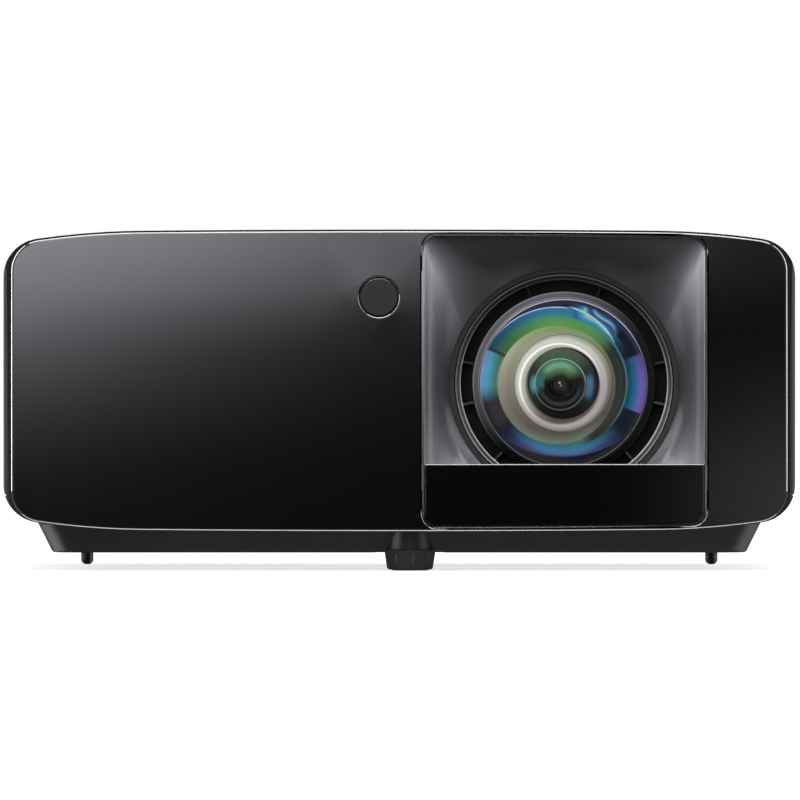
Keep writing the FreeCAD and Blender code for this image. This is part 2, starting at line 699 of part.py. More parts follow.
def rear_panel():
    outline = crowned_wire(panel_half, panel_foot, panel_top, panel_corner_radius)
    plate = prism_y(outline, rear_y - panel_thickness, rear_y)
    plate = plate.makeFillet(panel_edge, [e for e in plate.Edges if e.BoundBox.YMin > rear_y - 0.01])
    panel = plate.fuse(rebate_frame(rim_rear, rear_y - 1))
    audio_x, serial_h = ports["audio"][0], ports["serial"][3]
    well_w, well_h = port_right + 5 - (audio_x - 10), serial_h + 9
    well = rounded_wire(port_right + 5 - well_w / 2, board_top + serial_h / 2, well_w, well_h, 3.0)
    holes = [prism_y(well, rear_y - well_depth, rear_y + 1)]
    holes += [through_panel(x, z, w + 2 * fit_gap, h + 2 * fit_gap, 0.3) for x, z, w, h in ports.values()]
    holes.append(through_panel(inlet_x, inlet_z, inlet_w + 2 * fit_gap, inlet_h + 2 * fit_gap, 2.0))
    holes.append(box(lock_x - 3.6, lock_x + 3.6, rear_y - 4, rear_y + 1, lock_z - 1.6, lock_z + 1.6))
    for i in range(-4, 5):
        # speaker slots, longest in the middle
        dx = i * 3.8
        h = 2 * math.sqrt((speaker_radius - 1) ** 2 - dx ** 2)
        holes.append(through_panel(speaker_x + dx, speaker_z, 1.8, h, 0.89))
    for i in range(int(half_w * 0.62 / outlet_pitch)):
        x = -half_w + 24 + i * outlet_pitch
        holes.append(through_panel(x, case_top - 30, outlet_slot, 28.0, outlet_slot / 2 - 0.01))
    return cut_all(panel, holes)


# ---------------------------------------------------------------- keypad
key_top = case_top - 0.15
plate_under = keypad_z - key_plate
flange_low = plate_under - 0.15 - key_flange
switch_top = flange_low - key_travel - 0.1
keyboard_z = switch_top - 3.1              # upper side of the keypad's board
key_places = {"power_button": (-33.0, "round"), "menu_button": (-16.5, "pill"),
              "source_button": (35.0, "pill")}
pad_keys = {"right_button": 0, "up_button": 90, "left_button": 180, "down_button": 270}
light_places = [-38.0, -33.0, -28.0]
light_y = keypad_y - 9.5


def key_block(kind, grow, z0, z1, x):
    if kind == "round":
        return rod_z(x, keypad_y, z0, z1, 5.4 + grow)
    w, h = 5.2 + grow, 3.0 + grow
    return rounded_plate(x - w, x + w, keypad_y - h, keypad_y + h, z0, z1, h * 0.96)


def pad_block(angle, grow, z0, z1):
    """One of the four curved keys round the enter key."""
    ring = sleeve_z(pad_x, keypad_y, z0, z1, pad_outer + grow, pad_inner - grow)
    tip, reach = 0.8 - grow, pad_outer + grow + 1
    corners = [Vector(tip, 0, z0 - 1), Vector(reach, tip - reach, z0 - 1), Vector(1.5 * reach, 0, z0 - 1),
               Vector(reach, reach - tip, z0 - 1)]
    wedge = Part.Face(Part.makePolygon(corners + corners[:1])).extrude(Vector(0, 0, z1 - z0 + 2))
    wedge.rotate(Vector(0, 0, 0), Vector(0, 0, 1), angle)
    wedge.translate(Vector(pad_x, keypad_y, 0))
    return ring.common(wedge)


def keypad_bezel():
    x, y = keypad_length / 2 - fit_gap, keypad_width / 2 - fit_gap
    crown_fall = (x + 2) ** 2 / (2 * crown_radius)
    low, high = inner_top - 1.2, inner_top - crown_fall - 0.03
    body = rounded_plate(-x, x, keypad_y - y, keypad_y + y, low, keypad_z, keypad_corner - fit_gap)
    flange = rounded_plate(-x - 2, x + 2, keypad_y - y - 2, keypad_y + y + 2, low, high, 7.5)
    well = rounded_plate(2 - x, x - 2, keypad_y - y + 2, keypad_y + y - 2, inner_top - 2, plate_under, 4.0)
    low, high = plate_under - 1, keypad_z + 1
    holes = [well, rod_z(pad_x, keypad_y, low, high, enter_radius + key_gap)]
    holes += [key_block(kind, key_gap, low, high, kx) for kx, kind in key_places.values()]
    holes += [pad_block(angle, key_gap, low, high) for angle in pad_keys.values()]
    holes += [rod_z(lx, light_y, low, high, 1.1) for lx in light_places]
    return cut_all(fuse([body, flange]), holes)


def key_piece(make, edge, flange):
    """A key: cap with a soft top edge over a wider flange that the keypad's plate holds down."""
    cap = make(0.0, plate_under - 0.5, key_top)
    cap = cap.makeFillet(edge, level_edges(cap, key_top))
    return fuse([cap, make(flange, flange_low, plate_under - 0.15)])


def plain_key(name):
    x, kind = key_places[name]
    return key_piece(lambda grow, z0, z1: key_block(kind, grow, z0, z1, x), 0.3, 1.0)


def pad_key(name):
    return key_piece(lambda grow, z0, z1: pad_block(pad_keys[name], grow, z0, z1), 0.25, 0.35)


def enter_key():
    return key_piece(lambda grow, z0, z1: rod_z(pad_x, keypad_y, z0, z1, enter_radius + grow), 0.3, 0.4)


def keypad_board():
    x = keypad_length / 2 + 8
    plate = box(-x, x, keypad_y - 12, keypad_y + 12, keyboard_z - board, keyboard_z)
    spots = [(x, keypad_y) for x, _ in key_places.values()] + [(pad_x, keypad_y)]
    for angle in pad_keys.values():
        a, r = math.radians(angle), (pad_outer + pad_inner) / 2
        spots.append((pad_x + r * math.cos(a), keypad_y + r * math.sin(a)))
    switches = []
    for x, y in spots:
        switches.append(box(x - 1.9, x + 1.9, y - 1.9, y + 1.9, keyboard_z, switch_top - 0.5))
        switches.append(rod_z(x, y, switch_top - 0.5, switch_top, 1.2))
    return fuse([plate] + switches)


def light_guides():
    return Part.makeCompound([rod_z(x, light_y, keyboard_z, keypad_z - 0.1, 1.0) for x in light_places])


# ---------------------------------------------------------------- feet, nuts, inserts, screws
knob_top = tray_bottom + 1.0
knob_low = knob_top - knob_height


def screw_stem(x, y, z0, z1, r, pitch, depth):
    """Screw stem whose thread is shown by a ring groove at each turn."""
    grooves = []
    for i in range(1, int((z1 - z0) / pitch)):
        z = z0 + i * pitch
        grooves.append(sleeve_z(x, y, z - pitch * 0.2, z + pitch * 0.2, r + 1, r - depth))
    return cut_all(rod_z(x, y, z0, z1, r), grooves)


def front_foot_knob():
    knob = cone_z(foot_x, foot_y, knob_low, knob_top, knob_foot_radius, knob_radius)
    knob = knob.makeFillet(1.0, level_edges(knob, knob_low))
    slots = []
    for i in range(knob_grooves):
        slot = rod_z(foot_x + knob_radius + 0.25, foot_y, knob_low - 1, knob_top - 1.4, 1.0)
        slot.rotate(Vector(foot_x, foot_y, 0), Vector(0, 0, 1), 276.6 + i * 360.0 / knob_grooves)
        slots.append(slot)
    pocket = rod_z(foot_x, foot_y, knob_low - 1, knob_low + 1.6, foot_pad_radius + touch)
    pin_hole = rod_z(foot_x, foot_y, knob_low, knob_low + 4.6, 1.5 + touch)
    stem_end = knob_top + foot_travel + 12.0
    stem = screw_stem(foot_x, foot_y, knob_top, stem_end, foot_screw_radius, foot_pitch, 0.35)
    return cut_all(knob.fuse(stem), slots + [pocket, pin_hole])


def front_foot_pad():
    pad = rod_z(foot_x, foot_y, 0.0, knob_low + 1.55, foot_pad_radius)
    pad = pad.makeFillet(0.4, level_edges(pad, 0.0))
    return pad.fuse(rod_z(foot_x, foot_y, 1.0, knob_low + 4.55, 1.5))


def rear_foot_screw(side):
    x, y = side * rear_foot_x, rear_foot_y
    collar = rod_z(x, y, rear_pad_height + touch, tray_bottom - 0.25, rear_foot_radius)
    z0, z1 = tray_bottom - 0.3, tray_bottom + rear_travel + 9.0
    stem = screw_stem(x, y, z0, z1, rear_screw_radius, rear_pitch, 0.2)
    return collar.fuse(stem).cut(rod_z(x, y, 1.0, rear_pad_height + 2.2, 0.8 + touch))


def rear_foot_pad(side):
    x, y = side * rear_foot_x, rear_foot_y
    pad = rod_z(x, y, 0.0, rear_pad_height, rear_foot_radius)
    pad = pad.makeFillet(rear_foot_radius - 0.45, level_edges(pad, 0.0))
    return pad.fuse(rod_z(x, y, 1.2, rear_pad_height + 2.15, 0.8))


def brass_inserts():
    """Nuts that the feet turn in, and the four ceiling-mount inserts."""
    pieces = [sleeve_z(foot_x, foot_y, 9.0, 19.0, foot_screw_radius + nut_wall, foot_screw_radius + touch)]
    pieces += [sleeve_z(sx * rear_foot_x, rear_foot_y, 7.4, 15.0, rear_screw_radius + nut_wall - 0.5,
                        rear_screw_radius + touch) for sx in (-1, 1)]
    pieces += [sleeve_z(x, y, tray_bottom, tray_bottom + insert_length, insert_radius, insert_bore)
               for x, y in mounts]
    return Part.makeCompound(pieces)


def case_screws():
    screws = []
    for x, y in pillars:
        z = tray_bottom + counterbore
        screw = rod_z(x, y, z, seam_z + 13, screw_radius).fuse(rod_z(x, y, z - 2.2, z, screw_head_radius))
        cross = [box(x - a, x + a, y - b, y + b, z - 3, z - 1.2) for a, b in ((1.8, 0.4), (0.4, 1.8))]
        screws.append(cut_all(screw, cross))
    return Part.makeCompound(screws)


# ---------------------------------------------------------------- lens
glass_edge = 5.0
glass_y = barrel_y + 4.0                   # where the front glass's rim starts
glass_seat = glass_y + glass_edge
dome_radius = 46.0
hollow_radius = 22.5
hollow_reach = 20.5
cell_y = glass_seat + 1.4 + focus_travel
cell_length = 34.0
hood_length = 7.8
ring_y0 = hole_y + 1.0
bearing_y0 = barrel_y + 7.0


def sphere_point(radius, apex_y, r):
    """Point on a lens surface at distance r from the axis."""
    return Vector(lens_x + r, apex_y + radius - math.sqrt(radius ** 2 - r ** 2), lens_z)


def front_element():
    """Strong negative meniscus: bulging front, flat rim at the back, deep hollow."""
    apex = glass_y - dome_radius + math.sqrt(dome_radius ** 2 - glass_radius ** 2)
    inner_apex = glass_seat - hollow_radius + math.sqrt(hollow_radius ** 2 - hollow_reach ** 2)
    front = [sphere_point(dome_radius, apex, r) for r in (0.0, glass_radius * 0.55, glass_radius)]
    back = [sphere_point(hollow_radius, inner_apex, r) for r in (hollow_reach, hollow_reach * 0.6, 0.0)]
    rim = Vector(lens_x + glass_radius, glass_seat, lens_z)
    edges = [Part.Arc(*front), Part.LineSegment(front[2], rim), Part.LineSegment(rim, back[0]),
             Part.Arc(*back), Part.LineSegment(back[2], front[0])]
    return turned_wire(Part.Wire([edge.toShape() for edge in edges]), lens_x, lens_z)


def convex_element(radius, apex, bulge, rim_radius, rim_y, rim_thickness):
    """A plano-convex lens with a wider rim that sits in the focus cell."""
    sphere, back = (radius ** 2 + bulge ** 2) / (2 * bulge), rim_y + rim_thickness
    dome = [sphere_point(sphere, apex, r) for r in (0.0, radius * 0.55, radius)]
    corners = [Vector(lens_x + r, y, lens_z)
               for r, y in ((radius, rim_y), (rim_radius, rim_y), (rim_radius, back), (0, back))]
    sides = Part.makePolygon([dome[2]] + corners + [dome[0]])
    return turned_wire(Part.Wire([Part.Arc(*dome).toShape()] + sides.Edges), lens_x, lens_z)


def lens_barrel():
    bore, guide, journal = glass_radius + touch, focus_cell_radius + touch, ring_inner - touch
    tail, flange, collar, hood_end = 27.0, 33.0, 21.0, glass_seat + hood_length + 0.2
    end, y = barrel_end, bearing_y0
    return turned([(bore, barrel_y), (trim_radius, barrel_y), (trim_radius, y), (journal, y),
                   (journal, y + 9), (tail, y + 14), (tail, end - 4), (flange, end - 4), (flange, end),
                   (guide, end), (guide, hood_end), (collar, hood_end), (collar, glass_seat),
                   (bore, glass_seat)], lens_x, lens_z)


def lens_trim_ring():
    """Screwed ring that holds the front glass in the barrel's mouth."""
    lip, y = glass_radius + 0.15, barrel_y
    return turned([(lip + 0.4, y - 1.6), (trim_radius - 0.2, y - 1.6), (trim_radius, y - 1.2),
                   (trim_radius, y), (lip - 0.1, y), (lip, y - 0.8)], lens_x, lens_z)


def focus_ring():
    y1 = ring_y0 + focus_ring_length
    ring = turned([(ring_inner + 0.4, ring_y0), (ring_outer - 0.4, ring_y0), (ring_outer, ring_y0 + 0.4),
                   (ring_outer, y1), (ring_inner, y1), (ring_inner, ring_y0 + 0.4)], lens_x, lens_z)
    tabs = []
    for angle in [180] + [sign * a for a in tab_angles for sign in (-1, 1)]:
        tab = box(-tab_thickness / 2, tab_thickness / 2, ring_y0 + 1.2, bearing_y0 - 0.4,
                  trim_radius + 0.3, ring_inner + 0.5)
        tab.rotate(Vector(0, 0, 0), Vector(0, 1, 0), angle)
        tab.translate(Vector(lens_x, 0, lens_z))
        tabs.append(tab)
    return fuse([ring] + tabs)


def inner_hood():
    """Pale conical ring behind the front glass, pressed into the barrel."""
    y, hood_radius = glass_seat, focus_cell_radius + 0.4
    return turned([(20.95, y + 0.1), (20.95, y + hood_length), (hood_radius, y + hood_length),
                   (hood_radius, y + 4.6), (19.9, y + 0.1)], lens_x, lens_z)


def focus_cell():
    """Sliding cell of the focus group: a tube with a turned lip and a black stop inside."""
    y, r = cell_y, focus_cell_radius
    return turned([(12.6, y + 1.2), (14.6, y), (16.0, y), (r, y + 1.0), (r, y + cell_length),
                   (11.0, y + cell_length), (11.0, y + 12.0), (7.5, y + 12.0), (7.5, y + 10.0),
                   (13.4, y + 10.0), (13.4, y + 3.0), (12.6, y + 3.0)], lens_x, lens_z)


def focus_elements():
    """The two glasses of the focus group."""
    front = convex_element(12.4, cell_y - 1.5, 4.4, 13.35, cell_y + 3.05, 4.0)
    rear = convex_element(9.0, cell_y + 12.2, 2.2, 10.95, cell_y + 15.0, 4.0)
    return Part.makeCompound([front, rear])


def rear_lens_group():
    """Cemented group at the engine's end of the barrel."""
    end, r = barrel_end, focus_cell_radius + touch
    return turned([(0, end - 9), (8, end - 8), (r, end - 6), (r, end - 0.5), (9, end + 1.5), (0, end + 2)],
                  lens_x, lens_z)


# ---------------------------------------------------------------- engine and light source
casting = 3.0
cover_plate = 2.0
tunnel_x0 = source_x0 + 24.0
tunnel_half = 4.5
shaft_radius = 1.5
wheel_y = beam_y + 13.5
wheel_x = source_x0 + 16.5


def open_box(x0, x1, y0, y1):
    t = casting
    hollow = box(x0 + t, x1 - t, y0 + t, y1 - t, engine_low + t, engine_top + 1)
    return box(x0, x1, y0, y1, engine_low, engine_top).cut(hollow)


def engine_housing():
    """One casting: the image engine's box and the light source's box beside it."""
    engine_box = open_box(engine_x0, engine_x1, engine_y0, engine_y1)
    body = engine_box.fuse(open_box(source_x0, source_x1, source_y0, source_y1))
    through = casting + 1
    window = box(lens_x - 13, lens_x + 13, engine_y1 - through, engine_y1 + 1, lens_z - 9, lens_z + 9)
    beam = rod_x(beam_y, lens_z, source_x0 - 1, source_x0 + through, 5.0)
    passage = box(source_x1 - through, source_x1 + through, beam_y - 5, beam_y + 5, lens_z - 5, lens_z + 5)
    lens_seat = rod_y(lens_x, lens_z, engine_y0 - 1, engine_y0 + through, focus_cell_radius + 1)
    body = cut_all(body, [window, beam, passage, lens_seat])
    low = engine_low + 2
    prism_block = box(lens_x - 14, lens_x + 14, engine_y0 + 22, engine_y0 + 50, low, lens_z - 12)
    tunnel_block = box(tunnel_x0 + 1, tunnel_x0 + 9, beam_y - 6, beam_y + 6, low, lens_z - tunnel_half)
    return fuse([body, prism_block, tunnel_block])


def engine_cover():
    top = engine_top + cover_plate
    return fuse([box(engine_x0, engine_x1, engine_y0, engine_y1, engine_top, top),
                 box(source_x0, source_x1 + 1, source_y0, source_y1, engine_top, top)])


def prism():
    y = engine_y0 + 22
    corners = [Vector(lens_x - 12, y, lens_z - 12), Vector(lens_x + 12, y, lens_z - 12),
               Vector(lens_x + 12, y + 26, lens_z - 12)]
    return Part.Face(Part.makePolygon(corners + corners[:1])).extrude(Vector(0, 0, 24))


def light_tunnel():
    """Mirror tunnel, a square tube from the wheel to the engine."""
    r = tunnel_half
    outer = box(tunnel_x0, source_x1 + 1.5, beam_y - r, beam_y + r, lens_z - r, lens_z + r)
    r = tunnel_half - 1.2
    return outer.cut(box(tunnel_x0 - 1, source_x1 + 3, beam_y - r, beam_y + r, lens_z - r, lens_z + r))


def phosphor_wheel():
    return fuse([rod_x(wheel_y, lens_z, wheel_x, wheel_x + 1.0, 16.5),
                 rod_x(wheel_y, lens_z, wheel_x - 2.0, wheel_x + 2.0, 5.0),
                 rod_x(wheel_y, lens_z, source_x0 + casting + 2.0, wheel_x + 1.5, shaft_radius)])


def wheel_motor():
    motor = rod_x(wheel_y, lens_z, source_x0 + casting, wheel_x - 2.4, 8.5)
    return motor.cut(rod_x(wheel_y, lens_z, source_x0 + casting + 1.7, wheel_x, shaft_radius + touch))


def laser_module():
    block = box(laser_x0, source_x0, beam_y - 15, beam_y + 23, lens_z - 17, lens_z + 17)
    return block.cut(rod_x(beam_y, lens_z, laser_x0 + 4, source_x0 + 1, 4.0))


def laser_heat_sink():
    y0, y1, plate, fin, count = source_y0 - 6, source_y1 + 8, 4.0, 1.2, 14
    low, high = lens_z - 34, lens_z + 34
    fins = [box(laser_x0 - plate, laser_x0, y0, y1, low, high)]
    for i in range(count):
        z = low + i * (high - low - fin) / (count - 1)
        fins.append(box(laser_x0 - sink_length, laser_x0 - plate + 0.5, y0, y1, z, z + fin))
    return fuse(fins)


chip_depth = 2.4


def image_chip():
    frame = box(lens_x - 15, lens_x + 15, engine_y1, engine_y1 + chip_depth, lens_z - 11, lens_z + 11)
    return frame.cut(box(lens_x - 10, lens_x + 10, engine_y1 - 1, engine_y1 + 0.6, lens_z - 6, lens_z + 6))


def image_board():
    y = engine_y1 + chip_depth
    plate = box(lens_x - 30, lens_x + 30, y, y + board, lens_z - 24, lens_z + 24)
    return plate.fuse(box(lens_x - 26, lens_x + 26, y + board, y + board + 1, lens_z - 22, lens_z - 18))


def finned_plate(x0, x1, count, fin, make):
    """Fins spread evenly from x0 to x1, each made by a function of its two sides."""
    step = (x1 - x0 - fin) / (count - 1)
    return [make(x0 + i * step, x0 + i * step + fin) for i in range(count)]


def image_heat_sink():
    y, x0, x1 = engine_y1 + chip_depth + board, lens_x - 20, lens_x + 20
    fins = finned_plate(x0, x1, 11, 1.0, lambda a, b: box(a, b, y + 2.5, y + 13, lens_z - 15, lens_z + 15))
    return fuse([box(x0, x1, y, y + 3, lens_z - 15, lens_z + 15)] + fins)


# ---------------------------------------------------------------- fans
fan_hub = 13.5
fan_axle = 1.5


def fan_middle(y0):
    return y0 + fan_size / 2, fan_bottom + fan_size / 2


def fan_frame(x0, depth, y0):
    y, z = fan_middle(y0)
    bore, back = fan_size / 2 - 1.8, 2.0
    block = box(x0, x0 + depth, y0, y0 + fan_size, fan_bottom, fan_bottom + fan_size)
    block = round_edges(block, depth, 4.0).cut(rod_x(y, z, x0 - 1, x0 + depth + 1, bore))
    pieces = [block, rod_x(y, z, x0, x0 + back, fan_hub + 0.5),
              rod_x(y, z, x0 + back - 0.5, x0 + depth - 4.5, fan_axle)]
    for i in range(3):
        arm = box(x0, x0 + back, -1.6, 1.6, fan_hub - 0.5, bore + 0.8)
        arm.rotate(Vector(0, 0, 0), Vector(1, 0, 0), 40 + i * 120)
        arm.translate(Vector(0, y, z))
        pieces.append(arm)
    s = fan_size / 2 - 4.5
    holes = [rod_x(y + sy * s, z + sz * s, x0 - 1, x0 + depth + 1, 2.1) for sy in (-1, 1) for sz in (-1, 1)]
    return cut_all(fuse(pieces), holes)


def fan_rotor(x0, depth, y0):
    y, z = fan_middle(y0)
    start, stop, tip = x0 + 2.6, x0 + depth - 1.2, fan_size / 2 - 2.6
    hub = rod_x(y, z, start, stop, fan_hub).cut(rod_x(y, z, start - 1, stop - 2.8, fan_axle + touch))
    keep = rod_x(y, z, start + 0.2, stop, tip)
    blades = []
    for i in range(fan_blades):
        blade = box(-(depth - 5) / 2, (depth - 5) / 2, -0.7, 0.7, fan_hub - 1.5, tip + 3)
        blade.rotate(Vector(0, 0, 0), Vector(0, 0, 1), 38)
        blade.translate(Vector((start + stop) / 2, 0, 0))
        blade.rotate(Vector(0, 0, 0), Vector(1, 0, 0), i * 360.0 / fan_blades)
        blade.translate(Vector(0, y, z))
        blades.append(blade.common(keep))
    return fuse([hub] + blades)


# ---------------------------------------------------------------- boards and sockets
def supply_board():
    return box(supply_x0, supply_x1, supply_y0, supply_y1, supply_board_z, supply_top)


def supply_components():
    """Transformer, three capacitors and an angle of sheet metal that cools the switches."""
    x, y = supply_x0 + 30, supply_y0 + 18
    core = fuse([box(x - 15, x + 15, y - 13, y + 13, supply_top, supply_top + 24),
                 box(x - 9, x + 9, y - 16, y + 16, supply_top + 4, supply_top + 20)])
    cans = [rod_z(cx, supply_y1 - 12, supply_top, supply_top + 26, 8.0)
            for cx in (supply_x0 + 19, supply_x0 + 39, supply_x1 - 12)]
    x, y0, y1 = supply_x1 - 30, supply_y0 + 6, supply_y1 - 6
    angle = fuse([box(x, x + 2.4, y0, y1, supply_top, supply_top + 30),
                  box(x - 8, x + 1, y0, y1, supply_top + 27.6, supply_top + 30)])
    return Part.makeCompound([core, angle] + cans)


chip_x, chip_y = main_x0 + 38.0, main_y0 + 16.0


def main_board():
    plate = box(main_x0, main_x1, main_y0, main_y1, main_board_z, board_top)
    plate = cut_all(plate, [rod_z(x, y, main_board_z - 1, board_top + 1, pillar_radius + 1)
                            for x, y in pillars])
    chips = [box(chip_x - 12, chip_x + 12, chip_y - 12, chip_y + 12, board_top, board_top + 2.0)]
    chips += [box(x - 5, x + 5, chip_y - 7, chip_y + 7, board_top, board_top + 1.2)
              for x in (chip_x - 24, chip_x + 24, chip_x + 37)]
    return fuse([plate] + chips)


def main_heat_sink():
    x0, x1, y0, y1, z = chip_x - 13, chip_x + 13, chip_y - 13, chip_y + 13, board_top + 2.0
    fins = finned_plate(x0, x1, 8, 1.0, lambda a, b: box(a, b, y0, y1, z + 1.5, z + 9))
    return fuse([box(x0, x1, y0, y1, z, z + 2)] + fins)


def socket_block(name, depth):
    x, z, w, h = ports[name]
    return box(x - w / 2, x + w / 2, port_mouth - depth, port_mouth, z - h / 2, z + h / 2)


def video_socket(name):
    x, z = ports[name][:2]
    cavity = box(x - 7.1, x + 7.1, port_mouth - 11.5, port_mouth + 1, z - 2.5, z + 2.5)
    for s in (-1, 1):
        corner = [(x + s * 7.2, z - 2.6), (x + s * 5.2, z - 2.6), (x + s * 7.2, z - 0.8)]
        cavity = cavity.cut(wedge_y(corner, port_mouth - 12, port_mouth + 2))
    return socket_block(name, 13).cut(cavity)


def service_socket():
    x, z = ports["service"][:2]
    cavity = box(x - 6.3, x + 6.3, port_mouth - 12, port_mouth + 1, z - 2.6, z + 2.6)
    return socket_block("service", 14).cut(cavity)


def serial_socket():
    x, z, w, h = ports["serial"]
    flange = box(x - w / 2, x + w / 2, port_mouth - 12, port_mouth - 6, z - h / 2, z + h / 2)
    shell = prism_y(rounded_wire(x, z, 18.6, 9.6, 2.5), port_mouth - 6.5, port_mouth)
    shell = shell.cut(prism_y(rounded_wire(x, z, 17.4, 8.4, 2.0), port_mouth - 5.6, port_mouth + 1))
    nuts = [rod_y(x + s * 12.5, z, port_mouth - 6.5, port_mouth - 1, 2.6).cut(
        rod_y(x + s * 12.5, z, port_mouth - 6, port_mouth, 1.4)) for s in (-1, 1)]
    return fuse([flange, shell] + nuts)


def data_sockets():
    video = [video_socket(name) for name in ("video_a", "video_b")]
    return Part.makeCompound(video + [service_socket(), serial_socket()])


jack_radius = 1.8
jack_length = 12.0


def audio_jack():
    x, z, w, h = ports["audio"]
    block = box(x - w / 2, x + w / 2, port_mouth - 14, port_mouth - 1, z - h / 2, z + h / 2)
    block = block.fuse(rod_y(x, z, port_mouth - 2, port_mouth, 3.9))
    return block.cut(rod_y(x, z, port_mouth - jack_length, port_mouth + 1, jack_radius))


def power_inlet():
    """Mains inlet: a box with a six-sided well and a flange behind the back panel."""
    x, z, w, h = inlet_x, inlet_z, inlet_w / 2, inlet_h / 2
    block = prism_y(rounded_wire(x, z, inlet_w, inlet_h, 2.0 - fit_gap), rear_y - 22, rear_y)
    back = rear_y - panel_thickness
    flange = box(x - w - 3, x + w + 3, back - 1.6, back, z - h - 3, z + h + 3)
    well = box(x - 12, x + 12, rear_y - inlet_depth, rear_y + 1, z - 8, z + 8)
    for s in (-1, 1):
        corner = [(x + s * 12.2, z + 8.2), (x + s * 6.6, z + 8.2), (x + s * 12.2, z + 2.6)]
        well = well.cut(wedge_y(corner, rear_y - 18, rear_y + 2))
    return block.fuse(flange).cut(well)


def socket_contacts():
    """Mains pins, serial pins and the tongues of the flat sockets."""
    pieces = []
    for dx, dz in ((-7, -2.5), (7, -2.5), (0, 1.5)):
        x, z = inlet_x + dx, inlet_z + dz
        pieces.append(box(x - 1, x + 1, rear_y - inlet_depth, rear_y - 1.5, z - 2, z + 2))
    for name in ("video_a", "video_b"):
        x, z = ports[name][:2]
        pieces.append(box(x - 5.4, x + 5.4, port_mouth - 11.5, port_mouth - 7.0, z - 0.6, z + 0.9))
    x, z = ports["service"][:2]
    pieces.append(box(x - 5.6, x + 5.6, port_mouth - 12, port_mouth - 2, z + 0.5, z + 2.3))
    x, z = ports["serial"][:2]
    for count, dz in ((5, 1.42), (4, -1.42)):
        pieces += [rod_y(x + (i - (count - 1) / 2) * 2.77, z + dz, port_mouth - 5.6, port_mouth - 0.8, 0.5)
                   for i in range(count)]
    return Part.makeCompound(pieces)


def speaker():
    """Loudspeaker: frame and basket, with the cone as a second solid."""
    y1 = rear_y - panel_thickness
    r = speaker_radius
    frame = box(speaker_x - r - 2, speaker_x + r + 2, y1 - 2.5, y1, speaker_z - r - 2, speaker_z + r + 2)
    frame = frame.cut(rod_y(speaker_x, speaker_z, y1 - 3, y1 + 1, r))
    basket = turned([(r - 0.5, y1 - 2.4), (r + 1.0, y1 - 2.4), (12.0, y1 - 11), (12.0, y1 - 19),
                     (0.0, y1 - 19), (0.0, y1 - 11), (10.5, y1 - 11)], speaker_x, speaker_z)
    edge, fold = r - 0.1, r - 2.4
    cone = turned([(0.0, y1 - 7.6), (5.0, y1 - 8.6), (fold, y1 - 2.6), (edge, y1 - 1.2), (edge, y1 - 0.4),
                   (fold, y1 - 1.6), (5.0, y1 - 7.4), (0.0, y1 - 6.2)], speaker_x, speaker_z)
    return Part.makeCompound([frame.fuse(basket), cone])


# ---------------------------------------------------------------- build every node
nodes = {
    "bottom_case": bottom_case, "top_cover": top_cover,
    "front_panel": front_panel, "rear_panel": rear_panel, "infrared_window": infrared_window,
    "lens_bezel": lens_bezel, "lens_lower_panel": lens_lower_panel,
    "left_vent_panel": lambda: vent_panel(-1), "right_vent_panel": lambda: vent_panel(1),
    "keypad_bezel": keypad_bezel, "keypad_board": keypad_board, "light_guides": light_guides,
    "enter_button": enter_key,
    "front_foot_knob": front_foot_knob, "front_foot_pad": front_foot_pad,
    "rear_foot_screw_left": lambda: rear_foot_screw(-1), "rear_foot_screw_right": lambda: rear_foot_screw(1),
    "rear_foot_pad_left": lambda: rear_foot_pad(-1), "rear_foot_pad_right": lambda: rear_foot_pad(1),
    "brass_inserts": brass_inserts, "case_screws": case_screws,
    "lens_barrel": lens_barrel, "lens_trim_ring": lens_trim_ring, "focus_ring": focus_ring,
    "front_element": front_element, "inner_hood": inner_hood, "focus_cell": focus_cell,
    "focus_elements": focus_elements, "rear_lens_group": rear_lens_group,
    "engine_housing": engine_housing, "engine_cover": engine_cover, "prism": prism,
    "light_tunnel": light_tunnel, "phosphor_wheel": phosphor_wheel, "wheel_motor": wheel_motor,
    "laser_module": laser_module, "laser_heat_sink": laser_heat_sink,
    "image_board": image_board, "image_chip": image_chip, "image_heat_sink": image_heat_sink,
    "exhaust_fan_frame": lambda: fan_frame(exhaust_x, exhaust_fan_depth, exhaust_y),
    "exhaust_fan_rotor": lambda: fan_rotor(exhaust_x, exhaust_fan_depth, exhaust_y),
    "intake_fan_frame": lambda: fan_frame(intake_x, intake_fan_depth, intake_y),
    "intake_fan_rotor": lambda: fan_rotor(intake_x, intake_fan_depth, intake_y),
    "supply_board": supply_board, "supply_components": supply_components,
    "main_board": main_board, "main_heat_sink": main_heat_sink,
    "data_sockets": data_sockets, "audio_jack": audio_jack, "power_inlet": power_inlet,
    "socket_contacts": socket_contacts, "speaker": speaker,
}
nodes.update({name: lambda name=name: plain_key(name) for name in key_places})
nodes.update({name: lambda name=name: pad_key(name) for name in pad_keys})

for node, make in nodes.items():
    export(make(), node)
print(len(nodes), "nodes")
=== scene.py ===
import math

